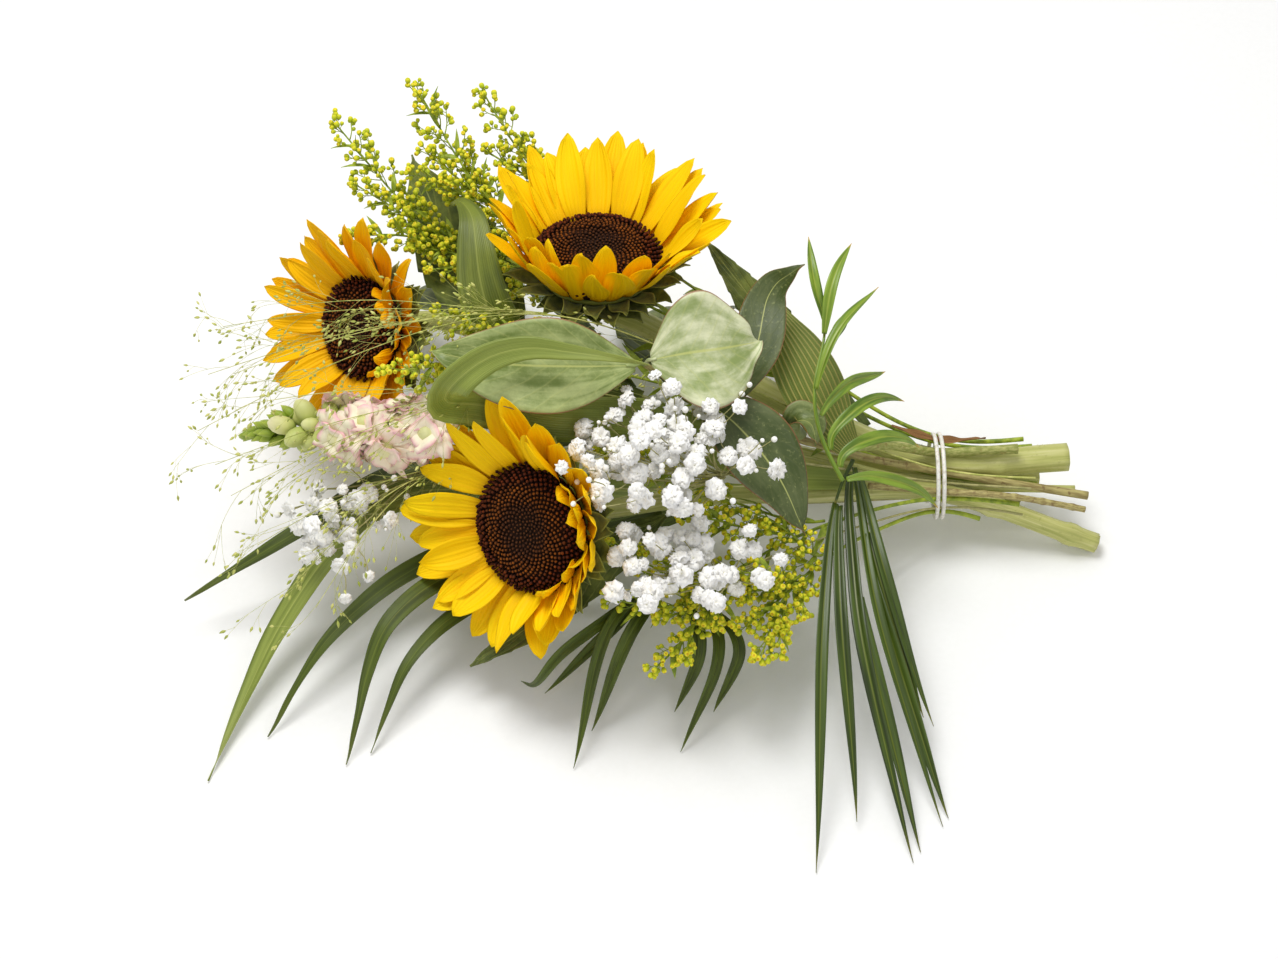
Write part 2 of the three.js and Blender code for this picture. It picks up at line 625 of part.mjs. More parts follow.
// ---- narrow fan leaf below the lowest flower ----
const FAN_HUB = [16, -52, 44];
const FAN_BLADES = [
  [[-18, -86, 54], [-33, -141, 1.4]],
  [[-46, -106, 50], [-54, -112, 24], [-60, -94, 12]],
  [[-8, -90, 50], [-24, -118, 1.4]],
  [[-18, -78, 36], [-48, -99, 8]],
  [[32, -90, 40], [18, -108, 3]],
  [[46, -90, 42], [21, -132, 1.4]],
  [[56, -88, 40], [38, -108, 3]],
];
const fan = FAN_BLADES.map((route) => blade([FAN_HUB, ...route], { width: 7, base: 0.5, steps: 5 }));
add("fan_leaf", joined(fan), COLOURS.strap);

// ---- short cut stem and dried bract at the tie ----
const nodedRoute = [[235, 2, 33], [214, 3, 38], [190, 4, 42.4], tiePoint(SLOT.noded), [120, 4, 50]];
add("noded_stem", rod(nodedRoute, () => 1.7, 9, 6), COLOURS.woodyStem);
const bractRoute = [[134, 43, 53], [158, 34, 51.4], [184, 38, 49]];
const dryBract = blade(bractRoute, { width: 5, thickness: 1.4, steps: 6, faces: [[0, 0.1, 1]] });
add("dried_bract", dryBract, COLOURS.dried);

// ---- stand the bunch on the surface, with the middle of its box over the origin ----
bunch.updateMatrixWorld(true);
const box = new THREE.Box3().setFromObject(bunch, true);
const middle = box.getCenter(new THREE.Vector3());
bunch.position.set(-middle.x, -middle.y, -box.min.z);

export default bunch;
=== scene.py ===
"""A bunch of sunflowers and mixed foliage, lying on its side: the looks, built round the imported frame.

Every plant takes its place, route and size from the CAD node that it replaces. Lengths are in metres.
"""
import math

import bpy
import mathutils
import numpy as np
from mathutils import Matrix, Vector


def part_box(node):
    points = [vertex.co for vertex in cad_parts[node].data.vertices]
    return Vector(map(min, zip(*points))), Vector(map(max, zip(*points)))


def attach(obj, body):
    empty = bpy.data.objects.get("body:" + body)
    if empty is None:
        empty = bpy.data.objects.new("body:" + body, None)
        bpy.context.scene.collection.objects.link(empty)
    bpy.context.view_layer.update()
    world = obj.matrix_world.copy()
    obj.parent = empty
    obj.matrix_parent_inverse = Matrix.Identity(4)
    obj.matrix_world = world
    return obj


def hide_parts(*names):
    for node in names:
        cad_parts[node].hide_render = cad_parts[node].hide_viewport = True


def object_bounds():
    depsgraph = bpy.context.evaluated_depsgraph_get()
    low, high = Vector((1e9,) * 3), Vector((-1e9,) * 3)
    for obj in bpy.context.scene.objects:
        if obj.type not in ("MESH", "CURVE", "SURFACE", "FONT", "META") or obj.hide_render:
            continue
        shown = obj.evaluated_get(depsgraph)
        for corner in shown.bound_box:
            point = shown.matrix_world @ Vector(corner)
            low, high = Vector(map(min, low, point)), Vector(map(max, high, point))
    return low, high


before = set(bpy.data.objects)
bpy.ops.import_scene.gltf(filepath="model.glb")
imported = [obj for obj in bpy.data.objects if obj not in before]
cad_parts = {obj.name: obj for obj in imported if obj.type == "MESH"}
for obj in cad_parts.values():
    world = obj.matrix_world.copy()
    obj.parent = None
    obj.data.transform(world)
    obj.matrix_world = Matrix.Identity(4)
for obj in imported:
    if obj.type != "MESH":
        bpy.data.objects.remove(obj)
CAD_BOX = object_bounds()

MM = 0.001
GOLDEN_TURN = math.pi * (3 - math.sqrt(5))
TOWARDS_VIEWER = np.array([0.0, -0.643, 0.766])
UP = np.array([0.0, 0.0, 1.0])
REST_HEIGHT = 1.5 * MM  # below this, anything that droops is eased on to the surface instead of through it


# ---- small vector helpers ----
def unit(v):
    """The same direction or directions, one unit long."""
    v = np.asarray(v, float)
    return v / np.maximum(np.linalg.norm(v, axis=-1, keepdims=True), 1e-12)


def along_curve(points, count, extra=None):
    """Points spread evenly along a smooth curve through the given ones, with extra values carried along."""
    points = np.asarray(points, float)
    columns = points if extra is None else np.hstack([points, extra])
    padded = np.vstack([2 * columns[0] - columns[1], columns, 2 * columns[-1] - columns[-2]])
    dense = []
    steps = 12
    for i in range(1, len(padded) - 2):
        a, b, c, d = padded[i - 1], padded[i], padded[i + 1], padded[i + 2]
        for t in np.linspace(0, 1, steps, endpoint=False):
            dense.append(0.5 * (2 * b + (c - a) * t + (2 * a - 5 * b + 4 * c - d) * t * t
                                + (3 * b - a - 3 * c + d) * t ** 3))
    dense.append(columns[-1])
    dense = np.array(dense)
    run = distances(dense[:, :3])
    wanted = np.linspace(0, run[-1], count)
    even = np.stack([np.interp(wanted, run, dense[:, k]) for k in range(dense.shape[1])], axis=1)
    return even if extra is not None else even[:, :3]


def distances(points):
    """How far along a route each of its points is."""
    return np.concatenate([[0], np.cumsum(np.linalg.norm(np.diff(points, axis=0), axis=1))])


def tangents(points):
    """The direction of travel at each point of a route."""
    return unit(np.gradient(points, axis=0))


def side_frames(points):
    """Across and up directions that follow a route without twisting."""
    ahead = tangents(points)
    up = UP
    if abs(np.dot(ahead[0], up)) > 0.95:
        up = np.array([0.0, 1.0, 0.0])
    across = np.zeros_like(points)
    ups = np.zeros_like(points)
    for i, forward in enumerate(ahead):
        across[i] = unit(np.cross(forward, up))
        up = unit(np.cross(across[i], forward))
        ups[i] = up
    return across, ups


# ---- reading shapes off the frame ----
def welded(node):
    """A CAD node's corners with the doubled ones joined, and the set of neighbours of each."""
    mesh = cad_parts[node].data
    corners = np.zeros(len(mesh.vertices) * 3)
    mesh.vertices.foreach_get("co", corners)
    corners = corners.reshape(-1, 3)
    _, first, index = np.unique(np.round(corners, 5), axis=0, return_index=True, return_inverse=True)
    index = np.asarray(index).ravel()
    points = corners[first]
    neighbours = [set() for _ in points]
    for polygon in mesh.polygons:
        loop = [index[v] for v in polygon.vertices]
        for a, b in zip(loop, loop[1:] + loop[:1]):
            if a != b:
                neighbours[a].add(b)
                neighbours[b].add(a)
    return points, neighbours


def steps_from(start, neighbours):
    """How many edges away each corner is from the start."""
    steps = {start: 0}
    ring = [start]
    while ring:
        following = []
        for corner in ring:
            for other in neighbours[corner]:
                if other not in steps:
                    steps[other] = steps[corner] + 1
                    following.append(other)
        ring = following
    return steps


def swept_rings(node):
    """The rings of corners of a swept CAD solid, from its +X end to its far end."""
    points, neighbours = welded(node)
    steps = steps_from(0, neighbours)
    end = max(steps, key=steps.get)
    steps = steps_from(end, neighbours)
    last = max(steps.values())
    rings = [points[[c for c, s in steps.items() if s == k]] for k in range(last + 1)]
    if rings[0].mean(0)[0] < rings[-1].mean(0)[0]:
        rings.reverse()
    return rings


def stem_route(node):
    """The middle line and radii of a round swept stem."""
    rings = [ring for ring in swept_rings(node) if len(ring) > 2]
    middle = np.array([ring.mean(0) for ring in rings])
    radii = np.array([np.linalg.norm(ring - ring.mean(0), axis=1).mean() for ring in rings])
    return middle, radii


def blade_route(node, foot):
    """The middle line, across and facing directions and half widths of a swept leaf, from its foot."""
    rings = [ring for ring in swept_rings(node) if len(ring) == 4]
    middle, across, facing, half = [], [], [], []
    for ring in rings:
        gaps = np.linalg.norm(ring[:, None] - ring[None], axis=2)
        i, j = np.unravel_index(gaps.argmax(), gaps.shape)
        others = [k for k in range(4) if k not in (i, j)]
        centre = (ring[i] + ring[j]) / 2
        keel = max(others, key=lambda k: np.linalg.norm(ring[k] - centre))
        middle.append(centre)
        across.append(unit(ring[j] - ring[i]))
        facing.append(unit(centre - ring[keel]))
        half.append(gaps[i, j] / 2)
    middle, across, facing, half = (np.array(a) for a in (middle, across, facing, half))
    foot = np.atleast_2d(foot)
    if np.linalg.norm(foot - middle[0], axis=1).min() > np.linalg.norm(foot - middle[-1], axis=1).min():
        middle, across, facing, half = middle[::-1], across[::-1], facing[::-1], half[::-1]
    for k in range(1, len(across)):
        if np.dot(across[k], across[k - 1]) < 0:
            across[k] = -across[k]
    return middle, across, facing, half


def branch_routes(node, root):
    """Routes over a branched CAD solid, from the corner nearest root to each of its tips."""
    apart = 5 * MM
    points, neighbours = welded(node)
    start = int(np.linalg.norm(points - root, axis=1).argmin())
    far = np.full(len(points), np.inf)
    far[start] = 0
    parent = {start: None}
    waiting = {start}
    while waiting:
        corner = min(waiting, key=lambda c: far[c])
        waiting.discard(corner)
        for other in neighbours[corner]:
            reach = far[corner] + np.linalg.norm(points[other] - points[corner])
            if reach < far[other] - 1e-9:
                far[other] = reach
                parent[other] = corner
                waiting.add(other)
    reached = [c for c in range(len(points)) if np.isfinite(far[c])]
    peaks = [c for c in reached if all(far[c] >= far[other] for other in neighbours[c])]
    peaks.sort(key=lambda c: -far[c])
    tips = []
    for peak in peaks:
        if all(np.linalg.norm(points[peak] - points[tip]) > apart for tip in tips):
            tips.append(peak)
    routes = []
    for tip in tips:
        corner, route = tip, []
        while corner is not None:
            route.append(points[corner])
            corner = parent[corner]
        routes.append(np.array(route[::-1]))
    return routes


# ---- gathering a piece's mesh ----
def new_object(name, data):
    """A new object, linked to the scene."""
    thing = bpy.data.objects.new(name, data)
    bpy.context.scene.collection.objects.link(thing)
    return thing


def sheet_grid(rows, cols):
    """Places along a sheet from 0 to 1, as a column, and across it from -1 to 1, as a row."""
    return np.linspace(0, 1, rows)[:, None], np.linspace(-1, 1, cols)[None]


def swept(middle, across, facing, sideways, lift):
    """A grid of points set out sideways and lifted from the points of a middle line."""
    return middle[:, None] + across[:, None] * sideways[..., None] + facing[:, None] * lift[..., None]


def turns(sides):
    """Equal turns round a full circle."""
    return np.linspace(0, 2 * math.pi, sides, endpoint=False)


def ring_faces(count, sides, reverse=False):
    """Quads between rings of corners, and a fan of faces over the first and the last ring."""
    index = np.arange(count * sides).reshape(count, sides)
    right = np.roll(index, -1, axis=1)
    quads = np.stack([index[:-1], right[:-1], right[1:], index[1:]], axis=-1).reshape(-1, 4)
    fan = range(1, sides - 1)
    first = [[index[0, 0], index[0, k + 1], index[0, k], index[0, k]] for k in fan]
    last = [[index[-1, 0], index[-1, k], index[-1, k + 1], index[-1, k + 1]] for k in fan]
    if reverse:
        quads = quads[:, [0, 3, 2, 1]]
        first = [[a, c, b, b] for a, b, c, _ in first]
        last = [[a, c, b, b] for a, b, c, _ in last]
    return quads, first, last


class Build:
    """Corners and faces of one piece, with four values at each corner: along, across, tone and side."""

    def __init__(self):
        self.corners, self.values, self.quads, self.rims, self.total = [], [], [], [], 0

    def add(self, corners, values, quads, rims):
        """Adds corners, and quads that are smooth or, on rims, flat."""
        self.corners.append(corners)
        self.values.append(values)
        self.quads.append(quads + self.total)
        self.rims.append(np.asarray(rims, int) + self.total)
        self.total += len(corners)

    def sheet(self, grid, thickness, tone, facing):
        """A thin closed sheet over a grid of points, thinner towards its sides."""
        rows, cols = grid.shape[:2]
        along, across = np.meshgrid(np.linspace(0, 1, rows), np.linspace(-1, 1, cols), indexing="ij")
        normal = unit(np.cross(np.gradient(grid, axis=1), np.gradient(grid, axis=0)))
        if (normal * facing).sum() < 0:
            normal = -normal
            grid, normal, across = grid[:, ::-1], normal[:, ::-1], across[:, ::-1]
        depth = normal * (thickness * (1 - 0.6 * np.abs(across) ** 4)[..., None] / 2)
        corners = np.concatenate([(grid + depth).reshape(-1, 3), (grid - depth).reshape(-1, 3)])
        count = rows * cols
        values = np.zeros((2 * count, 4))
        values[:, 0] = np.tile(along.ravel(), 2)
        values[:, 1] = np.tile(across.ravel(), 2)
        values[:, 2] = tone
        values[:count, 3] = 1.0
        index = np.arange(count).reshape(rows, cols)
        a, b, c, d = index[:-1, :-1], index[:-1, 1:], index[1:, 1:], index[1:, :-1]
        top = np.stack([a, b, c, d], axis=-1).reshape(-1, 4)
        bottom = np.stack([a, d, c, b], axis=-1).reshape(-1, 4) + count
        edge = np.concatenate([index[0, :-1], index[:-1, -1], index[-1, :0:-1], index[:0:-1, 0]])
        following = np.roll(edge, -1)
        rim = np.stack([following, edge, edge + count, following + count], axis=-1)
        self.add(corners, values, np.concatenate([top, bottom]), rim)

    def tube(self, points, radii, sides, tone=0.5, section=None):
        """A closed tube along a route; section(angle, along) scales its radius to shape ribs."""
        points = np.asarray(points, float)
        radii = np.broadcast_to(np.asarray(radii, float), len(points))
        across, ups = side_frames(points)
        turn = turns(sides)
        along = np.linspace(0, 1, len(points))
        scale = np.ones((len(points), sides)) if section is None else section(turn[None], along[:, None])
        reach = (radii[:, None] * scale)[..., None]
        ring = points[:, None] + reach * (across[:, None] * np.cos(turn)[None, :, None]
                                          + ups[:, None] * np.sin(turn)[None, :, None])
        ahead = tangents(points)
        ends = [points[0] - ahead[0] * radii[0] * 0.15, points[-1] + ahead[-1] * radii[-1] * 0.15]
        corners = np.concatenate([ring.reshape(-1, 3), ends])
        values = np.zeros((len(corners), 4))
        values[:-2, 0] = np.repeat(along, sides)
        values[:-2, 1] = np.tile(turn / math.pi - 1, len(points))
        values[-2:, 0] = (0, 1)
        values[:, 2] = tone
        values[:-2, 3] = 1.0
        quads, _, _ = ring_faces(len(points), sides, reverse=True)
        first, last = len(corners) - 2, len(corners) - 1
        caps = [[first, k, (k + 1) % sides, (k + 1) % sides] for k in range(sides)]
        start = (len(points) - 1) * sides
        caps += [[last, start + (k + 1) % sides, start + k, start + k] for k in range(sides)]
        self.add(corners, values, quads, caps)

    def stamp(self, other, turn, place, scale, tone):
        """Adds a turned, scaled copy of another build, mostly in a tone of its own."""
        corners, values, quads, rims = other.arrays()
        values = values.copy()
        values[:, 2] = values[:, 2] * 0.3 + tone * 0.7
        self.add(corners * scale @ np.asarray(turn).T + place, values, quads, rims)

    def arrays(self):
        """All corners, values, smooth quads and flat quads."""
        return tuple(np.concatenate(part) for part in (self.corners, self.values, self.quads, self.rims))

    def piece(self, name, material, slot, *nodes):
        """Makes the object, riding on the frame in place of the CAD nodes."""
        corners, values, quads, rims = self.arrays()
        low = corners[:, 2] < REST_HEIGHT
        corners[low, 2] = REST_HEIGHT * np.exp((corners[low, 2] - REST_HEIGHT) / (4 * REST_HEIGHT))
        faces = [[int(v) for i, v in enumerate(f) if v != f[i - 1]] for f in np.concatenate([quads, rims])]
        mesh = bpy.data.meshes.new(name)
        mesh.from_pydata(corners.tolist(), [], faces)
        smooth = np.zeros(len(faces), bool)
        smooth[:len(quads)] = True
        mesh.polygons.foreach_set("use_smooth", smooth)
        surface = mesh.attributes.new("Surface", "FLOAT_COLOR", "POINT")
        surface.data.foreach_set("color", values.astype(np.float32).ravel())
        mesh.materials.append(material)
        mesh.update()
        piece = new_object(name, mesh)
        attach(piece, "root")
        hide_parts(*nodes)


def turned_to(direction, roll=0.0):
    """A rotation that takes +Z to a direction, rolled about it."""
    z = unit(direction)
    seed = np.array([0.0, 0.0, 1.0]) if abs(z[2]) < 0.9 else np.array([1.0, 0.0, 0.0])
    x = unit(np.cross(seed, z))
    y = np.cross(z, x)
    c, s = math.cos(roll), math.sin(roll)
    return np.stack([x * c + y * s, y * c - x * s, z], axis=1)


def rolled(rng, direction):
    """A rotation that takes +Z to a direction, rolled by chance."""
    return turned_to(direction, rng.uniform(0, 6))


# ---- procedural materials ----
def ink(code):
    """A hex colour as linear red, green, blue and alpha."""
    parts = [int(code[i:i + 2], 16) / 255 for i in (1, 3, 5)]
    return (*[p / 12.92 if p <= 0.04045 else ((p + 0.055) / 1.055) ** 2.4 for p in parts], 1.0)


class Finish:
    """One material, put together node by node from the Surface values of the mesh."""

    def __init__(self, name):
        self.material = bpy.data.materials.new(name)
        self.material.use_nodes = True
        self.tree = self.material.node_tree
        self.tree.nodes.clear()
        self.shader = self.new("BsdfPrincipled")
        self.put(self.new("OutputMaterial").inputs["Surface"], self.shader.outputs["BSDF"])
        surface = self.new("Attribute")
        surface.attribute_name = "Surface"
        split = self.new("SeparateColor")
        self.put(split.inputs["Color"], surface.outputs["Color"])
        self.along, self.across, self.tone = split.outputs[0], split.outputs[1], split.outputs[2]
        self.side = surface.outputs["Alpha"]
        self.place = self.new("TexCoord").outputs["Object"]
        self.colour = None

    @property
    def off_midrib(self):
        """How far a point is from the midrib, from 0 to 1."""
        return self.math("ABSOLUTE", self.across)

    def new(self, kind):
        """A new shader node."""
        return self.tree.nodes.new("ShaderNode" + kind)

    def fill(self, node, *values):
        """Puts values or sockets into a node's inputs, in order."""
        for socket, value in zip(node.inputs, values):
            self.put(socket, value)

    def put(self, socket, value):
        """Links a socket, or sets its value."""
        if isinstance(value, bpy.types.NodeSocket):
            self.tree.links.new(value, socket)
        else:
            socket.default_value = value

    def math(self, operation, a, b=0.0, c=0.0):
        """A math node."""
        node = self.new("Math")
        node.operation = operation
        self.fill(node, a, b, c)
        return node.outputs[0]

    def plus(self, a, b):
        """The sum of two values."""
        return self.math("ADD", a, b)

    def times(self, a, b):
        """The product of two values."""
        return self.math("MULTIPLY", a, b)

    def waves(self, value, rate):
        """A cosine of a value at a rate."""
        return self.math("COSINE", self.times(value, rate))

    def vector(self, x, y, z):
        """Three values as a vector."""
        node = self.new("CombineXYZ")
        self.fill(node, x, y, z)
        return node.outputs[0]

    def noise(self, vector, scale, detail=3.0, roughness=0.55):
        """Fractal noise between 0 and 1."""
        node = self.new("TexNoise")
        self.put(node.inputs["Vector"], vector)
        node.inputs["Scale"].default_value = scale
        node.inputs["Detail"].default_value = detail
        node.inputs["Roughness"].default_value = roughness
        return node.outputs["Fac"]

    def streaks(self, across_scale, along_scale, scale=1.0, detail=3.0):
        """Noise drawn out along the piece."""
        across = self.times(self.across, across_scale)
        along = self.times(self.along, along_scale)
        return self.noise(self.vector(across, along, self.times(self.tone, 37.0)), scale, detail)

    def ramp(self, value, *stops):
        """A colour ramp from (position, colour) stops."""
        node = self.new("ValToRGB")
        self.put(node.inputs["Fac"], value)
        elements = node.color_ramp.elements
        elements[0].position, elements[0].color = stops[0][0], ink(stops[0][1])
        elements[1].position, elements[1].color = stops[-1][0], ink(stops[-1][1])
        for position, colour in stops[1:-1]:
            elements.new(position).color = ink(colour)
        return node.outputs["Color"]

    def span(self, value, low, high, to_low=0.0, to_high=1.0):
        """Maps a range smoothly on to another."""
        node = self.new("MapRange")
        node.interpolation_type = "SMOOTHSTEP"
        self.fill(node, value, low, high, to_low, to_high)
        return node.outputs["Result"]

    def mix(self, amount, a, b):
        """Mixes two colours, given as sockets or hex codes."""
        node = self.new("Mix")
        node.data_type = "RGBA"
        self.put(node.inputs[0], amount)
        self.put(node.inputs[6], ink(a) if isinstance(a, str) else a)
        self.put(node.inputs[7], ink(b) if isinstance(b, str) else b)
        return node.outputs[2]

    def patches(self, value, low, high, first, second):
        """Starts the colour as one colour that gives way to a second as a value rises."""
        self.colour = self.mix(self.span(value, low, high), first, second)

    def tint(self, other, *value_and_range):
        """Turns the colour towards another one as a value goes through its range."""
        self.colour = self.mix(self.span(*value_and_range), self.colour, other)

    def by_tone(self, other, most):
        """Turns the colour towards another one by an amount that differs from leaf to leaf."""
        self.tint(other, self.tone, 0.0, 1.0, 0.0, most)

    def underside(self, other, amount):
        """Turns the colour towards another one on the underside."""
        self.tint(other, self.side, 0.4, 0.6, amount, 0.0)

    def done(self, roughness, height, depth, strength, **more):
        """Connects colour, roughness and bump, and returns the material; more holds other shader values."""
        self.put(self.shader.inputs["Base Color"], self.colour)
        self.put(self.shader.inputs["Roughness"], roughness)
        bump = self.new("Bump")
        bump.inputs["Strength"].default_value = strength
        bump.inputs["Distance"].default_value = depth
        self.put(bump.inputs["Height"], height)
        self.put(self.shader.inputs["Normal"], bump.outputs["Normal"])
        self.shader.inputs["Subsurface Scale"].default_value = 1.5 * MM
        for name, value in more.items():
            self.put(self.shader.inputs[name.replace("_", " ")], value)
        return self.material


def petal_material(name, foot, middle, tip, shade):
    """Satin ray petals: deep colour at the foot, fine ridges along them, and the underside turned towards the
    shade colour as painted shade.
    """
    m = Finish(name)
    m.colour = m.ramp(m.along, (0.0, foot), (0.25, middle), (0.75, tip), (1.0, tip))
    streak = m.streaks(9.0, 1.3, 1.6, 4.0)
    m.tint(shade, streak, 0.5, 0.72, 0.0, 0.45)
    m.by_tone(shade, 0.3)
    groove = m.waves(m.across, 20.0)
    m.tint(shade, groove, 0.4, 1.0, 0.0, 0.22)
    # Painted shade: the underside takes on the deeper orange of petals in shade.
    m.underside(shade, 0.3)
    height = m.plus(m.times(groove, 0.5), streak)
    return m.done(0.55, height, 0.35 * MM, 0.6, Specular_IOR_Level=0.12)


def disc_material():
    """Packed disc florets: maroon fringe, a ring tipped with orange pollen, and a dull brown middle."""
    m = Finish("disc_florets")
    base = m.ramp(m.across, (0.0, "#2a1608"), (0.4, "#301607"), (0.6, "#381905"), (0.8, "#2c0d03"),
                  (1.0, "#1e0602"))
    tip = m.ramp(m.across, (0.0, "#6e4018"), (0.36, "#6a3a10"), (0.5, "#8e4c0c"), (0.66, "#9e570e"),
                 (0.78, "#74300a"), (1.0, "#4c1a08"))
    speck = m.noise(m.place, 900.0, 2.0)
    fresh = m.times(m.span(m.along, 0.45, 0.95), m.span(m.tone, 0.1, 0.9, 0.45, 1.0))
    m.colour = m.mix(fresh, base, tip)
    m.tint("#120807", speck, 0.45, 0.75, 0.0, 0.35)
    return m.done(0.8, speck, 0.3 * MM, 0.6, Specular_IOR_Level=0.2)


def bract_material():
    """Hairy grey-green bracts with paler edges."""
    m = Finish("bracts")
    patch = m.noise(m.place, 160.0)
    m.patches(patch, 0.3, 0.7, "#535b12", "#84892c")
    m.tint("#a0a243", m.off_midrib, 0.75, 1.0)
    hair = m.noise(m.vector(m.times(m.across, 30), m.times(m.along, 30), m.tone), 3.0, 5.0)
    m.tint("#b7b75a", hair, 0.55, 0.8, 0.0, 0.4)
    m.underside("#8b9036", 0.35)
    return m.done(0.8, hair, 0.3 * MM, 0.6, Sheen_Weight=0.1)


def green_stem_material():
    """Fresh stems: pale ridged green skin with darker flecks, and white pith at the cut."""
    m = Finish("green_stem")
    streak = m.streaks(7.0, 5.0, 1.4, 4.0)
    m.colour = m.ramp(streak, (0.3, "#9fa453"), (0.5, "#c3c275"), (0.7, "#ddd89c"))
    fleck = m.noise(m.place, 420.0, 3.0)
    m.tint("#8e8b3c", fleck, 0.6, 0.78, 0.0, 0.55)
    m.by_tone("#a3a84e", 0.3)
    pith = m.mix(m.noise(m.place, 700.0), "#d8d0a6", "#b5a56a")
    m.patches(m.side, 0.1, 0.5, pith, m.colour)
    return m.done(0.55, m.plus(streak, fleck), 0.3 * MM, 0.5, Sheen_Weight=0.1)


def bark_material(name, dark, light, fleck_colour):
    """Thin woody stems with long grain and scattered brown marks."""
    m = Finish(name)
    grain = m.streaks(5.0, 26.0, 1.2, 4.0)
    m.patches(grain, 0.35, 0.68, dark, light)
    m.tint(fleck_colour, m.noise(m.place, 260.0, 2.0), 0.58, 0.7, 0.0, 0.7)
    return m.done(0.6, grain, 0.2 * MM, 0.5)


def strap_material(name, deep, bright, vein, under):
    """Long leaves with parallel veins, a pale midrib and a duller underside."""
    m = Finish(name)
    patch = m.streaks(1.6, 3.2, 1.3, 3.0)
    m.patches(patch, 0.35, 0.7, deep, bright)
    line = m.waves(m.across, 64.0)
    m.tint(vein, line, 0.2, 1.0, 0.0, 0.2)
    m.tint(vein, m.streaks(22.0, 1.0, 1.0, 2.0), 0.5, 0.75, 0.0, 0.35)
    m.tint(vein, m.off_midrib, 0.02, 0.07, 0.6, 0.0)
    m.tint(vein, m.along, 0.86, 1.0, 0.0, 0.45)
    m.by_tone(bright, 0.4)
    m.underside(under, 0.6)
    height = m.plus(m.times(line, 0.6), m.streaks(12.0, 6.0))
    return m.done(0.42, height, 0.15 * MM, 0.45, Specular_IOR_Level=0.4)


def side_veins(m, count, slant, power):
    """Lines that leave the midrib at a slant, one for each of count steps along the leaf."""
    place = m.math("SUBTRACT", m.along, m.times(m.off_midrib, slant))
    wobble = m.times(m.streaks(2.0, 4.0, 1.0, 2.0), 0.05)
    wave = m.math("COSINE", m.times(m.plus(place, wobble), count * 2 * math.pi))
    return m.math("POWER", m.math("MULTIPLY_ADD", wave, 0.5, 0.5), power)


def waxy_leaf_material(name, deep, bright):
    """Eucalyptus: grey-green with whitish patches that are partly real bloom and partly painted sheen, pale
    veins and a thin red-brown rim.
    """
    m = Finish(name)
    # The bloom mask is partly the real whitish bloom and partly painted sheen; it also sets the roughness.
    bloom = m.noise(m.place, 42.0, 6.0, 0.68)
    streaky_bloom_and_sheen = m.streaks(3.0, 1.5, 1.2, 4.0)
    m.patches(m.plus(bloom, streaky_bloom_and_sheen), 0.75, 1.3, deep, bright)
    veins = side_veins(m, 9.0, 0.3, 22.0)
    m.colour = m.mix(m.times(veins, 0.22), m.colour, "#c3c776")
    m.colour = m.mix(m.tone, m.colour, "#2c3a11")
    m.tint("#c0c472", m.off_midrib, 0.01, 0.035, 0.7, 0.0)
    m.underside("#8d9a51", 0.55)
    m.tint("#93593a", m.off_midrib, 0.965, 0.99, 0.0, 0.85)
    net = m.noise(m.place, 520.0, 4.0)
    m.tint("#c9ce85", net, 0.55, 0.8, 0.0, 0.3)
    height = m.plus(m.times(veins, 0.8), net)
    rough = m.span(bloom, 0.3, 0.7, 0.34, 0.58)
    return m.done(rough, height, 0.15 * MM, 0.45)


def serrated_leaf_material():
    """Sunflower leaves: dull green, netted with sunken veins, and rough."""
    m = Finish("serrated_leaf")
    patch = m.noise(m.place, 90.0, 4.0)
    m.patches(patch, 0.35, 0.7, "#495619", "#798335")
    veins = side_veins(m, 7.0, 0.42, 14.0)
    m.colour = m.mix(m.times(veins, 0.4), m.colour, "#9ba14f")
    m.tint("#a6ab58", m.off_midrib, 0.012, 0.04, 0.7, 0.0)
    m.underside("#888f47", 0.6)
    net = m.noise(m.place, 330.0, 4.0)
    return m.done(0.72, m.plus(m.times(veins, -1.0), net), 0.4 * MM, 0.6, Sheen_Weight=0.2)


def bud_material():
    """Goldenrod buds: green at the foot, opening to bright yellow."""
    m = Finish("goldenrod_buds")
    m.colour = m.ramp(m.along, (0.0, "#98ac14"), (0.4, "#bac41c"), (0.62, "#e0d824"), (0.8, "#f2e42c"),
                      (1.0, "#d2ac10"))
    m.tint("#b0bf1c", m.tone, 0.2, 0.9, 0.0, 0.7)
    speck = m.noise(m.place, 1200.0, 2.0)
    m.tint("#f2e480", speck, 0.5, 0.75, 0.0, 0.3)
    return m.done(0.6, speck, 0.2 * MM, 0.5, Specular_IOR_Level=0.3)


def twig_material(name, dark, light):
    """Fine green twigs and their small leaves."""
    m = Finish(name)
    m.patches(m.noise(m.place, 240.0, 3.0), 0.35, 0.68, dark, light)
    m.by_tone(light, 0.4)
    return m.done(0.55, m.streaks(6.0, 9.0), 0.1 * MM, 0.4)


def swelling_bud_material():
    """Snapdragon buds: green scales near the tip, swelling to pale cream buds."""
    m = Finish("snapdragon_buds")
    green = m.mix(m.span(m.along, 0.1, 1.0), "#7b9426", "#b4c24e")
    cream = m.ramp(m.along, (0.0, "#aebf4e"), (0.35, "#dcdc8c"), (1.0, "#f6eec4"))
    m.patches(m.tone, 0.3, 0.75, green, cream)
    fine = m.streaks(8.0, 2.0, 1.2, 3.0)
    m.tint("#8da048", fine, 0.5, 0.75, 0.0, 0.3)
    return m.done(0.5, fine, 0.2 * MM, 0.5, Specular_IOR_Level=0.35)


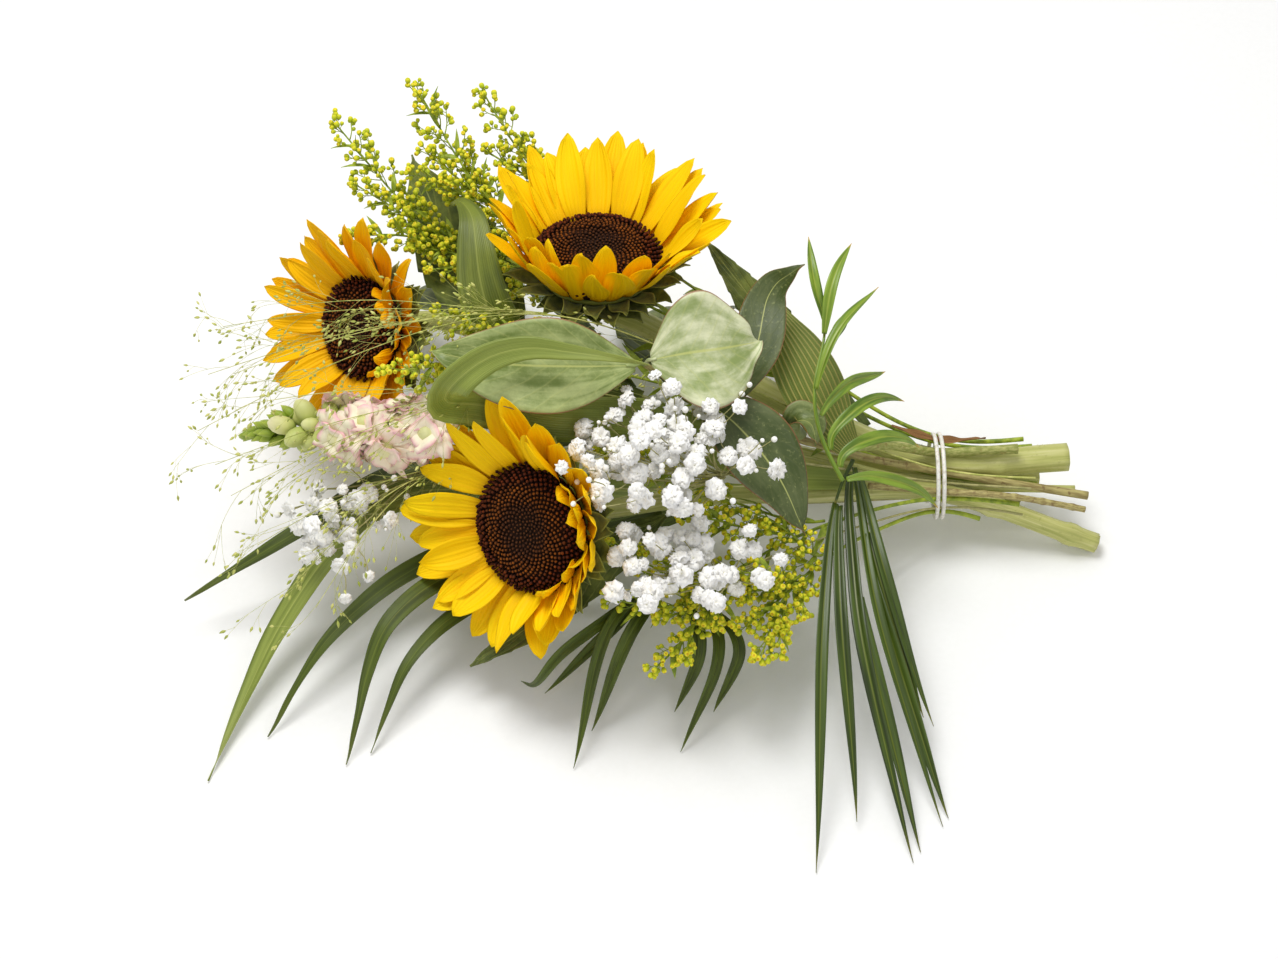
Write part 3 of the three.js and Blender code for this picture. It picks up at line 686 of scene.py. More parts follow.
def floret_material(name, heart, body, edge, blush):
    """Papery ruffled petals with faint veins, tinted at their foot."""
    m = Finish(name)
    m.colour = m.ramp(m.along, (0.0, heart), (0.4, body), (0.78, body), (1.0, edge))
    vein = m.streaks(10.0, 1.2, 1.4, 3.0)
    m.tint(edge, vein, 0.55, 0.75, 0.0, 0.25)
    m.tint(blush, m.tone, 0.35, 1.0, 0.0, 0.6)
    return m.done(0.7, vein, 0.15 * MM, 0.5, Specular_IOR_Level=0.2)


def palm_material(name, deep, bright, rib, tip):
    """Glossy folded leaflets: deep green, with tan ribs and dry tips."""
    m = Finish(name)
    patch = m.streaks(1.2, 2.4, 1.3, 3.0)
    m.patches(patch, 0.35, 0.68, deep, bright)
    m.by_tone(bright, 0.5)
    m.tint(rib, m.off_midrib, 0.04, 0.2, 0.45, 0.0)
    m.tint(tip, m.along, 0.9, 1.0, 0.0, 0.8)
    return m.done(0.38, m.streaks(16.0, 3.0), 0.12 * MM, 0.4)


def pleat_material():
    """The pleated band: one tan rib on the crest of each fold."""
    m = Finish("palm_pleats")
    patch = m.streaks(3.0, 5.0, 1.2, 3.0)
    m.patches(patch, 0.35, 0.68, "#54651f", "#84903e")
    m.tint("#b1a153", m.tone, 0.72, 1.0, 0.0, 0.9)
    fine = m.streaks(90.0, 2.0, 1.0, 2.0)
    m.tint("#a1a856", fine, 0.45, 0.7, 0.0, 0.4)
    return m.done(0.5, fine, 0.12 * MM, 0.4)


def tie_material():
    """Off-white elastic, faintly ribbed and dusty."""
    m = Finish("elastic_tie")
    dust = m.noise(m.place, 500.0, 3.0)
    m.patches(dust, 0.4, 0.75, "#f2efe6", "#cfc9b8")
    rib = m.waves(m.across, 18.0)
    return m.done(0.5, m.plus(rib, dust), 0.1 * MM, 0.5, Subsurface_Weight=0.05)


def dry_material():
    """Dried brown bract with split fibres."""
    m = Finish("dry_bract")
    fibre = m.streaks(14.0, 3.0, 1.3, 4.0)
    m.colour = m.ramp(fibre, (0.3, "#4c2f17"), (0.5, "#8a6033"), (0.72, "#b48a52"))
    return m.done(0.8, fibre, 0.3 * MM, 0.7)


PETAL = petal_material("petal", "#f8ae00", "#ffd000", "#ffda06", "#fbbd00")
GOLDEN_PETAL = petal_material("golden_petal", "#f1a200", "#fdc000", "#ffca02", "#f3aa00")
DISC = disc_material()
BRACT = bract_material()
STEM = green_stem_material()
BARK = bark_material("bark", "#8a7a45", "#b8ac6c", "#6b4c26")
STRAP = strap_material("strap_leaf", "#647420", "#909e43", "#b0b75f", "#909c4b")
MID_STRAP = strap_material("mid_strap", "#4c5a10", "#737f26", "#949c4a", "#828d3c")
DARK_STRAP = strap_material("dark_strap", "#2d3a07", "#536419", "#7a832e", "#647026")
WAXY = waxy_leaf_material("waxy_leaf", "#66792e", "#b4bf7c")
# A paler copy of the eucalyptus finish: painted reflection for the glossy second leaf.
PAINTED_REFLECTION_WAXY = waxy_leaf_material("painted_reflection_waxy_leaf", "#8a9a58", "#e0e2bc")
SERRATED = serrated_leaf_material()
BUD = bud_material()
GOLDENROD_TWIG = twig_material("goldenrod_twig", "#6c8212", "#a8b832")
# The greenish heart of each baby's-breath floret is partly its own colour and partly painted shade inside the
# floret.
GYPSOPHILA = floret_material("gypsophila", "#dcdcae", "#faf8f2", "#ffffff", "#f3efea")
GYPSOPHILA_TWIG = twig_material("gypsophila_twig", "#838444", "#b7b076")
SNAPDRAGON = floret_material("snapdragon", "#e2e0a0", "#fbf3d6", "#f2b6c0", "#f8dccf")
SNAP_BUD = swelling_bud_material()
PANICUM = twig_material("panicum", "#9aa63c", "#d4d27c")
PALM = palm_material("palm", "#243205", "#465a10", "#818927", "#777421")
PALM_TIP = palm_material("palm_fresh", "#4c6a16", "#86a030", "#b7bd50", "#dca53a")
PLEAT = pleat_material()
PALM_RIB = bark_material("palm_rib", "#848c3c", "#b3b268", "#8c7a3e")
DRY = dry_material()
TIE = tie_material()


# ---- sunflowers ----
DOME_RISE = 0.27  # how high a disc's dome rises, as a share of its radius
STEM_STEPS = 90  # points along a stem


def head_frame(name):
    """A head's centre, basis (two columns in the disc's plane, then the way it faces) and disc radius."""
    disc, _ = welded(f"sunflower_{name}_disc")
    calyx_corners, _ = welded(f"sunflower_{name}_calyx")
    middle = disc.mean(0)
    _, axes = np.linalg.eigh(np.cov((disc - middle).T))
    axis = axes[:, 0] if np.dot(axes[:, 0], middle - calyx_corners.mean(0)) > 0 else -axes[:, 0]
    across = np.linalg.norm(np.cross(disc - middle, axis), axis=1)
    radius = across.max()
    rim = disc[across > radius - 0.1 * MM].mean(0)
    return rim + axis * MM, turned_to(axis), radius


def petal_outline(t, foot, peak, point):
    """Half width of a petal along its length, as a share of its widest."""
    rising = foot + (1 - foot) * np.sin(np.clip(t / peak, 0, 1) * math.pi / 2)
    falling = np.cos(np.clip((t - peak) / (1 - peak), 0, 1) * math.pi / 2) ** point
    return np.maximum(np.minimum(rising, falling), 0.03)


def ray(build, head, turn, start, length, width, rise, bend, rng, cup, tip_curl, rows=15, cols=11,
        thick=0.4 * MM, foot=0.5, peak=0.5, point=0.58, ridge=0.35 * MM):
    """One ray petal or bract, leaving the head at a turn round its axis and curving as it goes."""
    centre, basis, _ = head
    t = np.linspace(0, 1, rows)
    s = np.linspace(-1, 1, cols)
    slope = rise + bend * t + tip_curl * np.clip((t - 0.62) / 0.38, 0, 1) ** 2
    step = length / (rows - 1)
    out = start[0] + np.concatenate([[0], np.cumsum(np.cos(slope[:-1]))]) * step
    up = start[1] + np.concatenate([[0], np.cumsum(np.sin(slope[:-1]))]) * step
    half = width / 2 * petal_outline(t, foot, peak, point)
    twist = rng.normal(0, 0.35) * t[:, None]
    wave_height = rng.normal(0, 0.5 * MM)
    phase = rng.uniform(0.8, 1.6) * t[:, None] + rng.random()
    wave = wave_height * np.sin(2 * math.pi * phase) * s
    sway = rng.normal(0, 0.06) * length * t[:, None] ** 2
    flat = half[:, None] * s
    ridges = ridge * np.cos(s * 3 * math.pi) * np.sin(t[:, None] * math.pi)
    lift = cup * half[:, None] * s ** 2 + ridges + wave
    sideways = flat * np.cos(twist) - lift * np.sin(twist) + sway
    raised = flat * np.sin(twist) + lift * np.cos(twist)
    radial = out[:, None] - raised * np.sin(slope)[:, None]
    height = up[:, None] + raised * np.cos(slope)[:, None]
    outward = basis[:, 0] * math.cos(turn) + basis[:, 1] * math.sin(turn)
    beside = basis[:, 1] * math.cos(turn) - basis[:, 0] * math.sin(turn)
    grid = centre + radial[..., None] * outward + sideways[..., None] * beside
    grid = grid + height[..., None] * basis[:, 2]
    build.sheet(grid, thick, rng.random(), basis[:, 2])


def sunflower_petals(name, material, slot, whorls, closing, seed, over=0.0):
    """Whorls of ray petals: (count, lift of the foot, length, width, rise, bend, tip curl), in millimetres.

    closing points to the side whose petals are short and stand up; the last whorl keeps to that side and
    curls over the disc.
    """
    build = Build()
    rng = np.random.default_rng(seed)
    head = HEADS[name]
    _, basis, radius = head
    side = math.atan2(np.dot(closing, basis[:, 1]), np.dot(closing, basis[:, 0])) + over
    for index, (count, foot, length, width, rise, bend, curl) in enumerate(whorls):
        inner = index == len(whorls) - 1
        for k in range(count):
            turn = 2 * math.pi * (k + 0.5 * index) / count + rng.normal(0, 0.05)
            stretch = rng.uniform(0.88, 1.08)
            if inner:
                turn = side + 2.3 * ((k + 0.5) / count - 0.5) + rng.normal(0, 0.16)
                stretch = rng.uniform(0.7, 1.1)
            outward = basis[:, 0] * math.cos(turn) + basis[:, 1] * math.sin(turn)
            shut = 0.0 if inner else float(np.dot(outward, closing))
            closed = max(shut, 0)
            start = (radius * 0.97 - index * 0.8 * MM, foot * MM + rng.normal(0, 0.4 * MM))
            share = 1 - 1.1 * closed + 0.4 * max(-shut, 0)
            ray(build, head, turn, start, length * MM * stretch * share, width * MM * rng.uniform(0.88, 1.1),
                rise + shut + rng.normal(0, 0.09), bend + 0.8 * closed + rng.normal(0, 0.1), rng,
                cup=rng.uniform(0.15, 0.5), tip_curl=curl + 2.5 * closed * rng.random() + rng.normal(0, 0.3))
    build.piece(f"{name}_ray_petals", material, slot, f"sunflower_{name}_petals")


def dome(rho, radius):
    """Height of the disc's face above its plane: a low dome, sunken in the middle."""
    return radius * (DOME_RISE * (1 - rho ** 4) - 0.07 * np.exp(-(rho / 0.34) ** 2))


def turned_form(profile, sides=6):
    """A small round form standing on +Z, from (radius, height) pairs in millimetres."""
    build = Build()
    turn = turns(sides)
    rings = [np.stack([r * np.cos(turn), r * np.sin(turn), np.full(sides, z)], axis=1) for r, z in profile]
    corners = np.concatenate(rings) * MM
    values = np.zeros((len(corners), 4))
    values[:, 0] = np.repeat(np.linspace(0, 1, len(profile)), sides)
    values[:, 3] = 1
    quads, first, last = ring_faces(len(profile), sides)
    build.add(corners, values, quads, last + first)
    return build


def disc_florets(name, seed):
    """The disc: a dark dome packed with florets set out by the golden angle, taller towards the rim."""
    centre, basis, radius = HEADS[name]
    rng = np.random.default_rng(seed)
    build = Build()
    tall = turned_form([(0.5, 0), (0.62, 1.6), (0.95, 2.7), (0.3, 3.5)])
    open_one = turned_form([(0.7, 0), (0.85, 1.0), (0.75, 1.7), (0.22, 2.2)])
    closed_one = turned_form([(0.8, 0), (0.95, 0.7), (0.6, 1.2), (0.12, 1.5)])
    pitch = 2.05 * MM
    count = int(math.pi * radius ** 2 / pitch ** 2)
    for k in range(count):
        rho = math.sqrt((k + 0.5) / count)
        turn = k * GOLDEN_TURN
        place = np.array([rho * radius * math.cos(turn), rho * radius * math.sin(turn), dome(rho, radius)])
        slope = radius * DOME_RISE * 4 * rho ** 3 / radius
        lean = np.array([math.cos(turn) * slope, math.sin(turn) * slope, 1.0]) + rng.normal(0, 0.09, 3)
        kind = tall if rho > 0.74 else open_one if rho > 0.44 else closed_one
        size = rng.uniform(0.85, 1.15) * (1.0 if rho > 0.3 else 0.85)
        build.stamp(kind, rolled(rng, basis @ unit(lean)), centre + basis @ place, size, rng.random())
        build.values[-1][:, 1] = rho
    rings, sides = 18, 60
    rho = np.linspace(0.02, 1.0, rings)[:, None]
    turn = turns(sides)
    face = np.stack([rho * radius * np.cos(turn), rho * radius * np.sin(turn),
                     np.broadcast_to(dome(rho, radius) - 0.3 * MM, (rings, sides))], axis=-1)
    inset, depth = radius * 0.9, -5 * MM
    wall = np.stack([inset * np.cos(turn), inset * np.sin(turn), np.full(sides, depth)], axis=-1)
    shell = np.concatenate([face, wall[None], (wall * [0.05, 0.05, 1])[None]])
    quads, first, last = ring_faces(len(shell), sides, reverse=True)
    shell = shell.reshape(-1, 3)
    values = np.zeros((len(shell), 4))
    values[:, 1] = np.clip(np.linalg.norm(shell[:, :2], axis=1) / radius, 0, 1)
    build.add(centre + shell @ basis.T, values, quads, first + last)
    build.piece(f"{name}_disc_florets", DISC, "disc", f"sunflower_{name}_disc")


def calyx(name, seed):
    """The green cup behind the petals, with three rows of pointed hairy bracts."""
    head = HEADS[name]
    centre, basis, radius = head
    rng = np.random.default_rng(seed)
    build = Build()
    bottom = -radius * 0.3 - 12 * MM
    profile = [(6.4 * MM, bottom), (8.5 * MM, bottom + 1.2 * MM), (radius * 0.55, bottom + 5 * MM),
               (radius * 0.85, -9.5 * MM), (radius * 0.97, -4.5 * MM), (radius * 0.9, -4 * MM),
               (2 * MM, -5.2 * MM)]
    sides = 40
    turn = turns(sides)
    cup = np.array([(r * math.cos(a), r * math.sin(a), z) for r, z in profile for a in turn])
    quads, first, last = ring_faces(len(profile), sides)
    build.add(centre + cup @ basis.T, np.full((len(cup), 4), 0.4), quads, first + last)
    rows = [(13, radius * 0.5, bottom + 3.2 * MM, 24 * MM, 13 * MM, 0.1, -0.9),
            (15, radius * 0.72, -12.5 * MM, 25 * MM, 14 * MM, 0.2, -1.5),
            (16, radius * 0.9, -8.2 * MM, 21 * MM, 12 * MM, 0.3, -1.1)]
    for row, (count, out, height, length, width, rise, curl) in enumerate(rows):
        for k in range(count):
            turn = 2 * math.pi * (k + 0.37 * row) / count + rng.normal(0, 0.06)
            ray(build, head, turn, (out, height), length * rng.uniform(0.85, 1.15),
                width * rng.uniform(0.9, 1.1), rise, 0.3, rng, 0.3, curl * rng.uniform(0.5, 1.4),
                rows=9, cols=7, thick=0.7 * MM, foot=0.8, peak=0.3, point=1.1, ridge=0.1 * MM)
    build.piece(f"{name}_calyx_bracts", BRACT, "bract", f"sunflower_{name}_calyx")


def stem(node, name, material, slot, ribs, depth, sides, hairs, seed, nodes_at=()):
    """A ribbed stem along its CAD route, with short hairs, swollen nodes and pith at the cut end."""
    rng = np.random.default_rng(seed)
    middle, radii = stem_route(node)
    points = along_curve(middle, STEM_STEPS)
    place = np.linspace(0, 1, STEM_STEPS)
    width = np.interp(place, np.linspace(0, 1, len(radii)), radii)
    for swelling in nodes_at:
        width = width * (1 + 0.22 * np.exp(-((place - swelling) / 0.012) ** 2))

    def rib(angle, along):
        """Coarse ribs with fine ones between them, winding slowly round the stem."""
        coarse = 1 + depth * np.cos(ribs * angle + 3 * along)
        return coarse + depth * 0.5 * np.sin((ribs * 2 + 1) * angle + 9 * along)

    build = Build()
    build.tube(points, width, sides, rng.random(), rib)
    build.values[-1][-2:, 3] = 0
    build.values[-1][:sides, 3] = 0.45
    across, ups = side_frames(points)
    hair = turned_form([(0.09, 0), (0.05, 0.5), (0.01, 1.0)], 3)
    for _ in range(hairs):
        k = rng.integers(2, len(points) - 2)
        angle = rng.uniform(0, 2 * math.pi)
        out = across[k] * math.cos(angle) + ups[k] * math.sin(angle)
        foot = points[k] + out * width[k] * 0.98
        build.stamp(hair, turned_to(out + rng.normal(0, 0.25, 3)), foot, rng.uniform(0.6, 1.3), 0.9)
    build.piece(name, material, slot, node)


HEADS = {name: head_frame(name) for name in ("top", "left", "low")}
TOP_WHORLS = [(23, -3.6, 46, 16, 0.82, 0.06, 0.0), (21, -1.8, 44, 15, 1.0, 0.0, 0.0),
              (6, -0.4, 19, 12, 1.0, 0.9, 1.1)]
LEFT_WHORLS = [(21, -3.4, 38, 13, 0.42, 0.12, 0.0), (20, -1.6, 36, 12.5, 0.68, 0.05, 0.0),
               (5, -0.4, 17, 9.5, 1.0, 0.9, 1.0)]
LOW_WHORLS = [(22, -3.6, 41, 16.5, 0.5, 0.12, 0.0), (20, -1.8, 39, 15.5, 0.74, 0.05, 0.0),
              (5, -0.4, 19, 12, 0.95, 0.9, 1.2)]
sunflower_petals("top", PETAL, "petal", TOP_WHORLS, (-0.1, -0.14, 0.0), 11, 0.6)
sunflower_petals("left", GOLDEN_PETAL, "golden_petal", LEFT_WHORLS, (0.12, -0.02, 0.0), 12)
sunflower_petals("low", PETAL, "petal", LOW_WHORLS, (0.24, -0.04, -0.03), 13)
for number, name in enumerate(HEADS):
    disc_florets(name, 21 + number)
    calyx(name, 31 + number)
stem("sunflower_top_stem", "top_stem", STEM, "stem", 7, 0.03, 28, 900, 41, (0.14,))
stem("sunflower_left_stem", "left_stem", STEM, "stem", 8, 0.04, 28, 500, 42)
stem("sunflower_low_stem", "low_stem", STEM, "stem", 9, 0.06, 32, 500, 43, (0.05, 0.2))


# ---- leaves ----
TIE_MIDDLE = np.mean(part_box("tie"), axis=0)


def smoothed(route, count, rounds=6):
    """A route resampled evenly and eased, with its ends kept."""
    run = distances(route)
    even = np.linspace(0, run[-1], 28)
    points = np.stack([np.interp(even, run, route[:, k]) for k in range(3)], axis=1)
    for _ in range(rounds):
        points[1:-1] = (points[:-2] + 2 * points[1:-1] + points[2:]) / 4
    return along_curve(points, count)


def fresh_part(points, placed, gap):
    """The part of a route that has left the routes already placed."""
    if not len(placed):
        return points
    near = np.array([np.linalg.norm(placed - point, axis=1).min() < gap for point in points])
    last = np.nonzero(near)[0]
    return points[last[-1]:] if len(last) else points


def blade_frames(node, foot, rows):
    """Even steps along a CAD blade: middle line, across and facing directions, and half widths."""
    middle, across, facing, half = blade_route(node, foot)
    even = along_curve(middle, rows, np.hstack([across, facing, half[:, None]]))
    return even[:, :3], unit(even[:, 3:6]), unit(even[:, 6:9]), even[:, 9:10]


def leaf(node, name, material, slot, foot, rows, cols, fold, wave, ripples, seed, teeth=0, veins=0, tone=0.5,
         thick=0.5 * MM, stalk=None):
    """A leaf over its CAD blade: folded along the midrib, rippled at the edges, toothed and veined."""
    rng = np.random.default_rng(seed)
    middle, across, facing, half = blade_frames(node, foot, rows)
    half = np.maximum(half, 0.2 * MM)
    t, s = sheet_grid(rows, cols)
    phase = np.where(s > 0, rng.uniform(0, 6), rng.uniform(0, 6))
    reach = half * np.ones_like(s)
    if teeth:
        reach = reach * (1 - 0.1 * ((t * teeth) % 1) * np.abs(s) ** 8)
    lift = half * fold * np.abs(s) ** 1.5
    rippled = np.sin(2 * math.pi * ripples * t + phase)
    lift = lift + wave * np.abs(s) ** 2 * rippled * np.sin(math.pi * t) ** 0.5
    if veins:
        between = np.cos(2 * math.pi * veins * (t - 0.25 * np.abs(s)))
        lift = lift + 0.5 * MM * between * np.sin(math.pi * np.abs(s))
    build = Build()
    build.sheet(swept(middle, across, facing, reach * s, lift), thick, tone, facing[:, None])
    if stalk is not None:
        start = stalk[np.linalg.norm(stalk - middle[0], axis=1).argmin()]
        bend = (start + middle[0]) / 2 + UP * 1.5 * MM
        build.tube(along_curve([start, bend, middle[0], middle[2]], 12), 1.0 * MM, 8, tone)
    build.piece(name, material, slot, node)


def blades(node, name, material, slot, root, width, shortest, seed, rows=36, foot=0.35):
    """Slender leaflets along the branches of a CAD node, folded along the middle, with fine tips."""
    rng = np.random.default_rng(seed)
    build = Build()
    t, s = sheet_grid(rows, 7)
    gap = 2.5 * MM
    routes = [smoothed(route, 90) for route in branch_routes(node, root)]
    others = np.vstack(routes[1:])
    shared = [np.linalg.norm(others - point, axis=1).min() < gap for point in routes[0]]
    rib = routes[0][:1 + np.nonzero(shared)[0][-1]]
    build.tube(rib, np.linspace(1.3 * MM, 0.7 * MM, len(rib)), 8, 0.5)
    placed = rib
    for route in routes:
        points = fresh_part(route, placed, gap)
        if distances(points)[-1] < shortest:
            continue
        placed = np.vstack([placed, points])
        points = smoothed(points, rows, 2)
        ahead = tangents(points)
        across = unit(np.cross(ahead, TOWARDS_VIEWER + rng.normal(0, 0.25, 3)))
        facing = unit(np.cross(across, ahead))
        outline = np.maximum(petal_outline(t, foot, 0.42, 0.9), 0.04)
        half = width * rng.uniform(0.85, 1.15) / 2 * outline
        lift = half * 0.35 * np.abs(s) ** 1.2 - 0.25 * half * np.exp(-(s / 0.12) ** 2)
        grid = swept(points, across, facing, half * s, lift)
        build.sheet(grid, 0.4 * MM, rng.uniform(0, 1), facing[:, None])
    build.piece(name, material, slot, node)


def extreme(node, axis, way=1):
    """The corner of a CAD node furthest along an axis, or against it."""
    points, _ = welded(node)
    return points[(points[:, axis] * way).argmax()]


EUCALYPTUS_ROUTE, _ = stem_route("eucalyptus_stem")
# Eucalyptus leaf 2 wears the paler finish, with its painted reflection.
for number, tone in zip(range(1, 6), (0.05, 0.0, 0.8, 0.8, 0.4)):
    leaf(f"eucalyptus_leaf_{number}", f"waxy_leaf_{number}", PAINTED_REFLECTION_WAXY if number == 2 else WAXY, "waxy_leaf",
         EUCALYPTUS_ROUTE, 44, 17, fold=0.12, wave=1.3 * MM, ripples=1.6, tone=tone, thick=0.7 * MM,
         seed=60 + number, stalk=EUCALYPTUS_ROUTE)
STRAPS = {1: MID_STRAP, 2: STRAP, 3: STRAP}
for number in range(1, 10):
    leaf(f"strap_leaf_{number}", f"grass_leaf_{number}", STRAPS.get(number, DARK_STRAP), "strap_leaf",
         TIE_MIDDLE, 60, 11, fold=0.16, wave=0.8 * MM, ripples=3.3, tone=(number * 0.37) % 1,
         seed=70 + number)
for number in range(1, 6):
    leaf(f"sunflower_leaf_{number}", f"toothed_leaf_{number}", SERRATED, "serrated_leaf", TIE_MIDDLE, 73, 17,
         fold=0.18, wave=1.5 * MM, ripples=2.2, teeth=12, veins=7, thick=0.6 * MM, seed=80 + number)
blades("fan_leaf", "fan_leaflets", DARK_STRAP, "strap_leaf", extreme("fan_leaf", 1), 6.4 * MM, 25 * MM, 91)
leaf("dried_bract", "dried_bract", DRY, "dried", TIE_MIDDLE, 30, 9, fold=0.6, wave=1.0 * MM, ripples=3.0,
     teeth=7, seed=92)


# ---- palm ----
def pleated_band():
    """The palm leaf's base: a band folded into pleats, one tan rib along each crest."""
    pleats, rows, depth = 12, 50, 1.3 * MM
    middle, across, facing, half = blade_frames("palm_band", TIE_MIDDLE, rows)
    t, s = sheet_grid(rows, pleats * 6 + 1)
    crest = np.abs(((s + 1) / 2 * pleats) % 1 * 2 - 1) + 0 * t
    lift = crest * depth * np.minimum(half / half.max(), 1) - half * 0.12 * s ** 2
    build = Build()
    grid = swept(middle, across, facing, half * s, lift)
    build.sheet(grid, 0.35 * MM, np.tile(crest.ravel(), 2), facing[:, None])
    build.piece("palm_pleats", PLEAT, "palm", "palm_band")


pleated_band()
blades("palm_leaflets_low", "palm_leaflets_hanging", PALM, "palm", extreme("palm_leaflets_low", 1),
       6.6 * MM, 60 * MM, 93, rows=48, foot=0.5)
blades("palm_leaflets_high", "palm_leaflets_curled", PALM_TIP, "palm", extreme("palm_leaflets_high", 1, -1),
       6.5 * MM, 20 * MM, 94, foot=0.4)
stem("palm_rachis", "palm_rib", PALM_RIB, "palm_rib", 3, 0.08, 16, 0, 95)
stem("eucalyptus_stem", "eucalyptus_twig", BARK, "woody_stem", 5, 0.03, 14, 0, 96, (0.2, 0.37, 0.6))
stem("noded_stem", "noded_twig", BARK, "woody_stem", 4, 0.03, 14, 0, 97, (0.06, 0.2, 0.33, 0.47, 0.6))
stem("snapdragon_stem", "snapdragon_stalk", STEM, "stem", 5, 0.04, 18, 0, 98)


# ---- tie ----
def tie():
    """Two turns of elastic cord."""
    middle, radii = stem_route("tie")
    build = Build()
    build.tube(along_curve(middle, 180), radii.mean(), 14)
    build.piece("elastic_tie", TIE, "tie", "tie")


tie()


# ---- sprays ----
def sprout(rng, ahead, turn, lean):
    """A direction that leaves a stem at a lean, at a turn round it."""
    side = unit(np.cross(ahead, UP if abs(ahead[2]) < 0.9 else [1.0, 0, 0]))
    up = np.cross(side, ahead)
    out = side * math.cos(turn) + up * math.sin(turn)
    return unit(ahead * math.cos(lean) + out * math.sin(lean) + rng.normal(0, 0.12, 3))


def fresh_routes(node, root, count, rounds, gap, fewest, clear=0.0):
    """Each branch of a CAD node, numbered, from where it leaves the branches before it."""
    placed = np.empty((0, 3))
    for number, route in enumerate(branch_routes(node, root)):
        points = fresh_part(smoothed(route, count, rounds), placed, gap)
        if len(points) >= fewest and np.linalg.norm(points[-1] - root) >= clear:
            placed = np.vstack([placed, points])
            yield number, points


def leaflet(build, foot, ahead, length, width, rng):
    """A narrow leaf, arching away from its twig."""
    t, s = sheet_grid(8, 5)
    across = unit(np.cross(ahead, UP) + rng.normal(0, 0.3, 3))
    facing = unit(np.cross(across, ahead))
    middle = foot + ahead * length * t - facing * (0.25 * length * t ** 2)
    half = width / 2 * petal_outline(t, 0.35, 0.4, 1.0)
    lift = half * 0.4 * np.abs(s)
    grid = middle[:, None] + across * (half * s)[..., None] + facing * lift[..., None]
    build.sheet(grid, 0.3 * MM, rng.random(), facing)


def goldenrod(name, seed):
    """A goldenrod spray: short twigs all round the stem, crowded with round buds, and narrow leaves."""
    rng = np.random.default_rng(seed)
    buds, twigs = Build(), Build()
    bud = turned_form([(0.3, 0), (1.0, 0.6), (1.45, 1.6), (1.35, 2.6), (0.85, 3.2), (0.5, 2.8)], 8)
    flowering = 80 * MM
    for number, points in fresh_routes(name, extreme(name, 0), 90, 3, 2.5 * MM, 5):
        thick, longest, bare = (1.3, 11.0, 110 * MM) if number == 0 else (0.8, 7.0, 0)
        twigs.tube(points, np.linspace(thick * MM, 0.45 * MM, len(points)), 7, rng.random())
        ahead = tangents(points)
        run = distances(points)
        place, turn = run[-1] - 0.5 * MM, rng.uniform(0, 6)
        while place > max(0.0, run[-1] - flowering):
            k = min(int(np.searchsorted(run, place)), len(points) - 1)
            back = run[-1] - place
            turn += GOLDEN_TURN
            direction = sprout(rng, ahead[k], turn, 0.35 + 0.5 * min(back / (15 * MM), 1))
            size = (3.0 + longest * min(back / (40 * MM), 1) ** 0.7) * MM * rng.uniform(0.6, 1.2)
            end = points[k] + direction * size + ahead[k] * size * 0.25
            twig = along_curve([points[k], points[k] + direction * size * 0.55, end], 5)
            twigs.tube(twig, np.array([0.4, 0.35, 0.3, 0.3, 0.25]) * MM, 4, rng.random())
            tip_way = unit(end - twig[2])
            buds.stamp(bud, rolled(rng, tip_way), end, rng.uniform(0.85, 1.2), rng.random())
            for j in range(1 + int(size / (2.2 * MM))):
                at = twig[4 - j % 3] - tip_way * (j // 3) * 1.5 * MM
                way = sprout(rng, tip_way, rng.uniform(0, 6) + j * 2.4, 0.95)
                foot = at + way * rng.uniform(1.0, 2.4) * MM
                twigs.tube(np.array([at, foot]), 0.22 * MM, 3, 0.8)
                buds.stamp(bud, rolled(rng, way), foot, rng.uniform(0.65, 1.1), rng.random())
            if back > 12 * MM and rng.random() < 0.4:
                leaflet(twigs, points[k], sprout(rng, ahead[k], turn + 0.4, 0.8), rng.uniform(9, 17) * MM,
                        rng.uniform(2.2, 3.4) * MM, rng)
            place -= rng.uniform(2.4, 3.6) * MM
        while place > bare:
            k = int(np.searchsorted(run, place))
            leaflet(twigs, points[k], sprout(rng, ahead[k], rng.uniform(0, 6), 0.7), rng.uniform(14, 24) * MM,
                    rng.uniform(3, 4.5) * MM, rng)
            place -= rng.uniform(9, 15) * MM
    buds.piece(f"{name}_buds", BUD, "goldenrod", name)
    twigs.piece(f"{name}_twigs", GOLDENROD_TWIG, "goldenrod", name)


def ruffled_floret(seed, whorls, radius, ruffle=0.14, rows=4, cols=5, broad=0.62, ragged=1.0):
    """A full floret facing +Z: (count, share of radius, lift) whorls of petals with ragged, wavy edges."""
    rng = np.random.default_rng(seed)
    build = Build()
    t, s = sheet_grid(rows, cols)
    for index, (count, share, lift) in enumerate(whorls):
        for k in range(count):
            turn = 2 * math.pi * (k + 0.5 * (index % 2)) / count + rng.normal(0, 0.12)
            size = radius * share * rng.uniform(0.88, 1.1)
            slope = lift + rng.normal(0, 0.12) - 0.5 * t ** 2
            out = size * t * np.cos(slope) * (1 - 0.16 * np.abs(s) ** 2 * t)
            out = out * (1 + rng.normal(0, 0.1 * ragged, (1, cols)) * t ** 3)
            side = size * broad * s * np.sin(np.clip(t * 1.25, 0, 1) * math.pi / 2)
            high = size * t * np.sin(slope) + ruffle * size * t ** 2 * np.sin(s * 5 + rng.uniform(0, 6))
            high = high + rng.normal(0, 0.03 * ragged, (rows, cols)) * size * t
            c, d = math.cos(turn), math.sin(turn)
            grid = np.stack([out * c - side * d, out * d + side * c, high], axis=-1)
            build.sheet(grid, 0.2 * MM, rng.random(), UP)
    return build


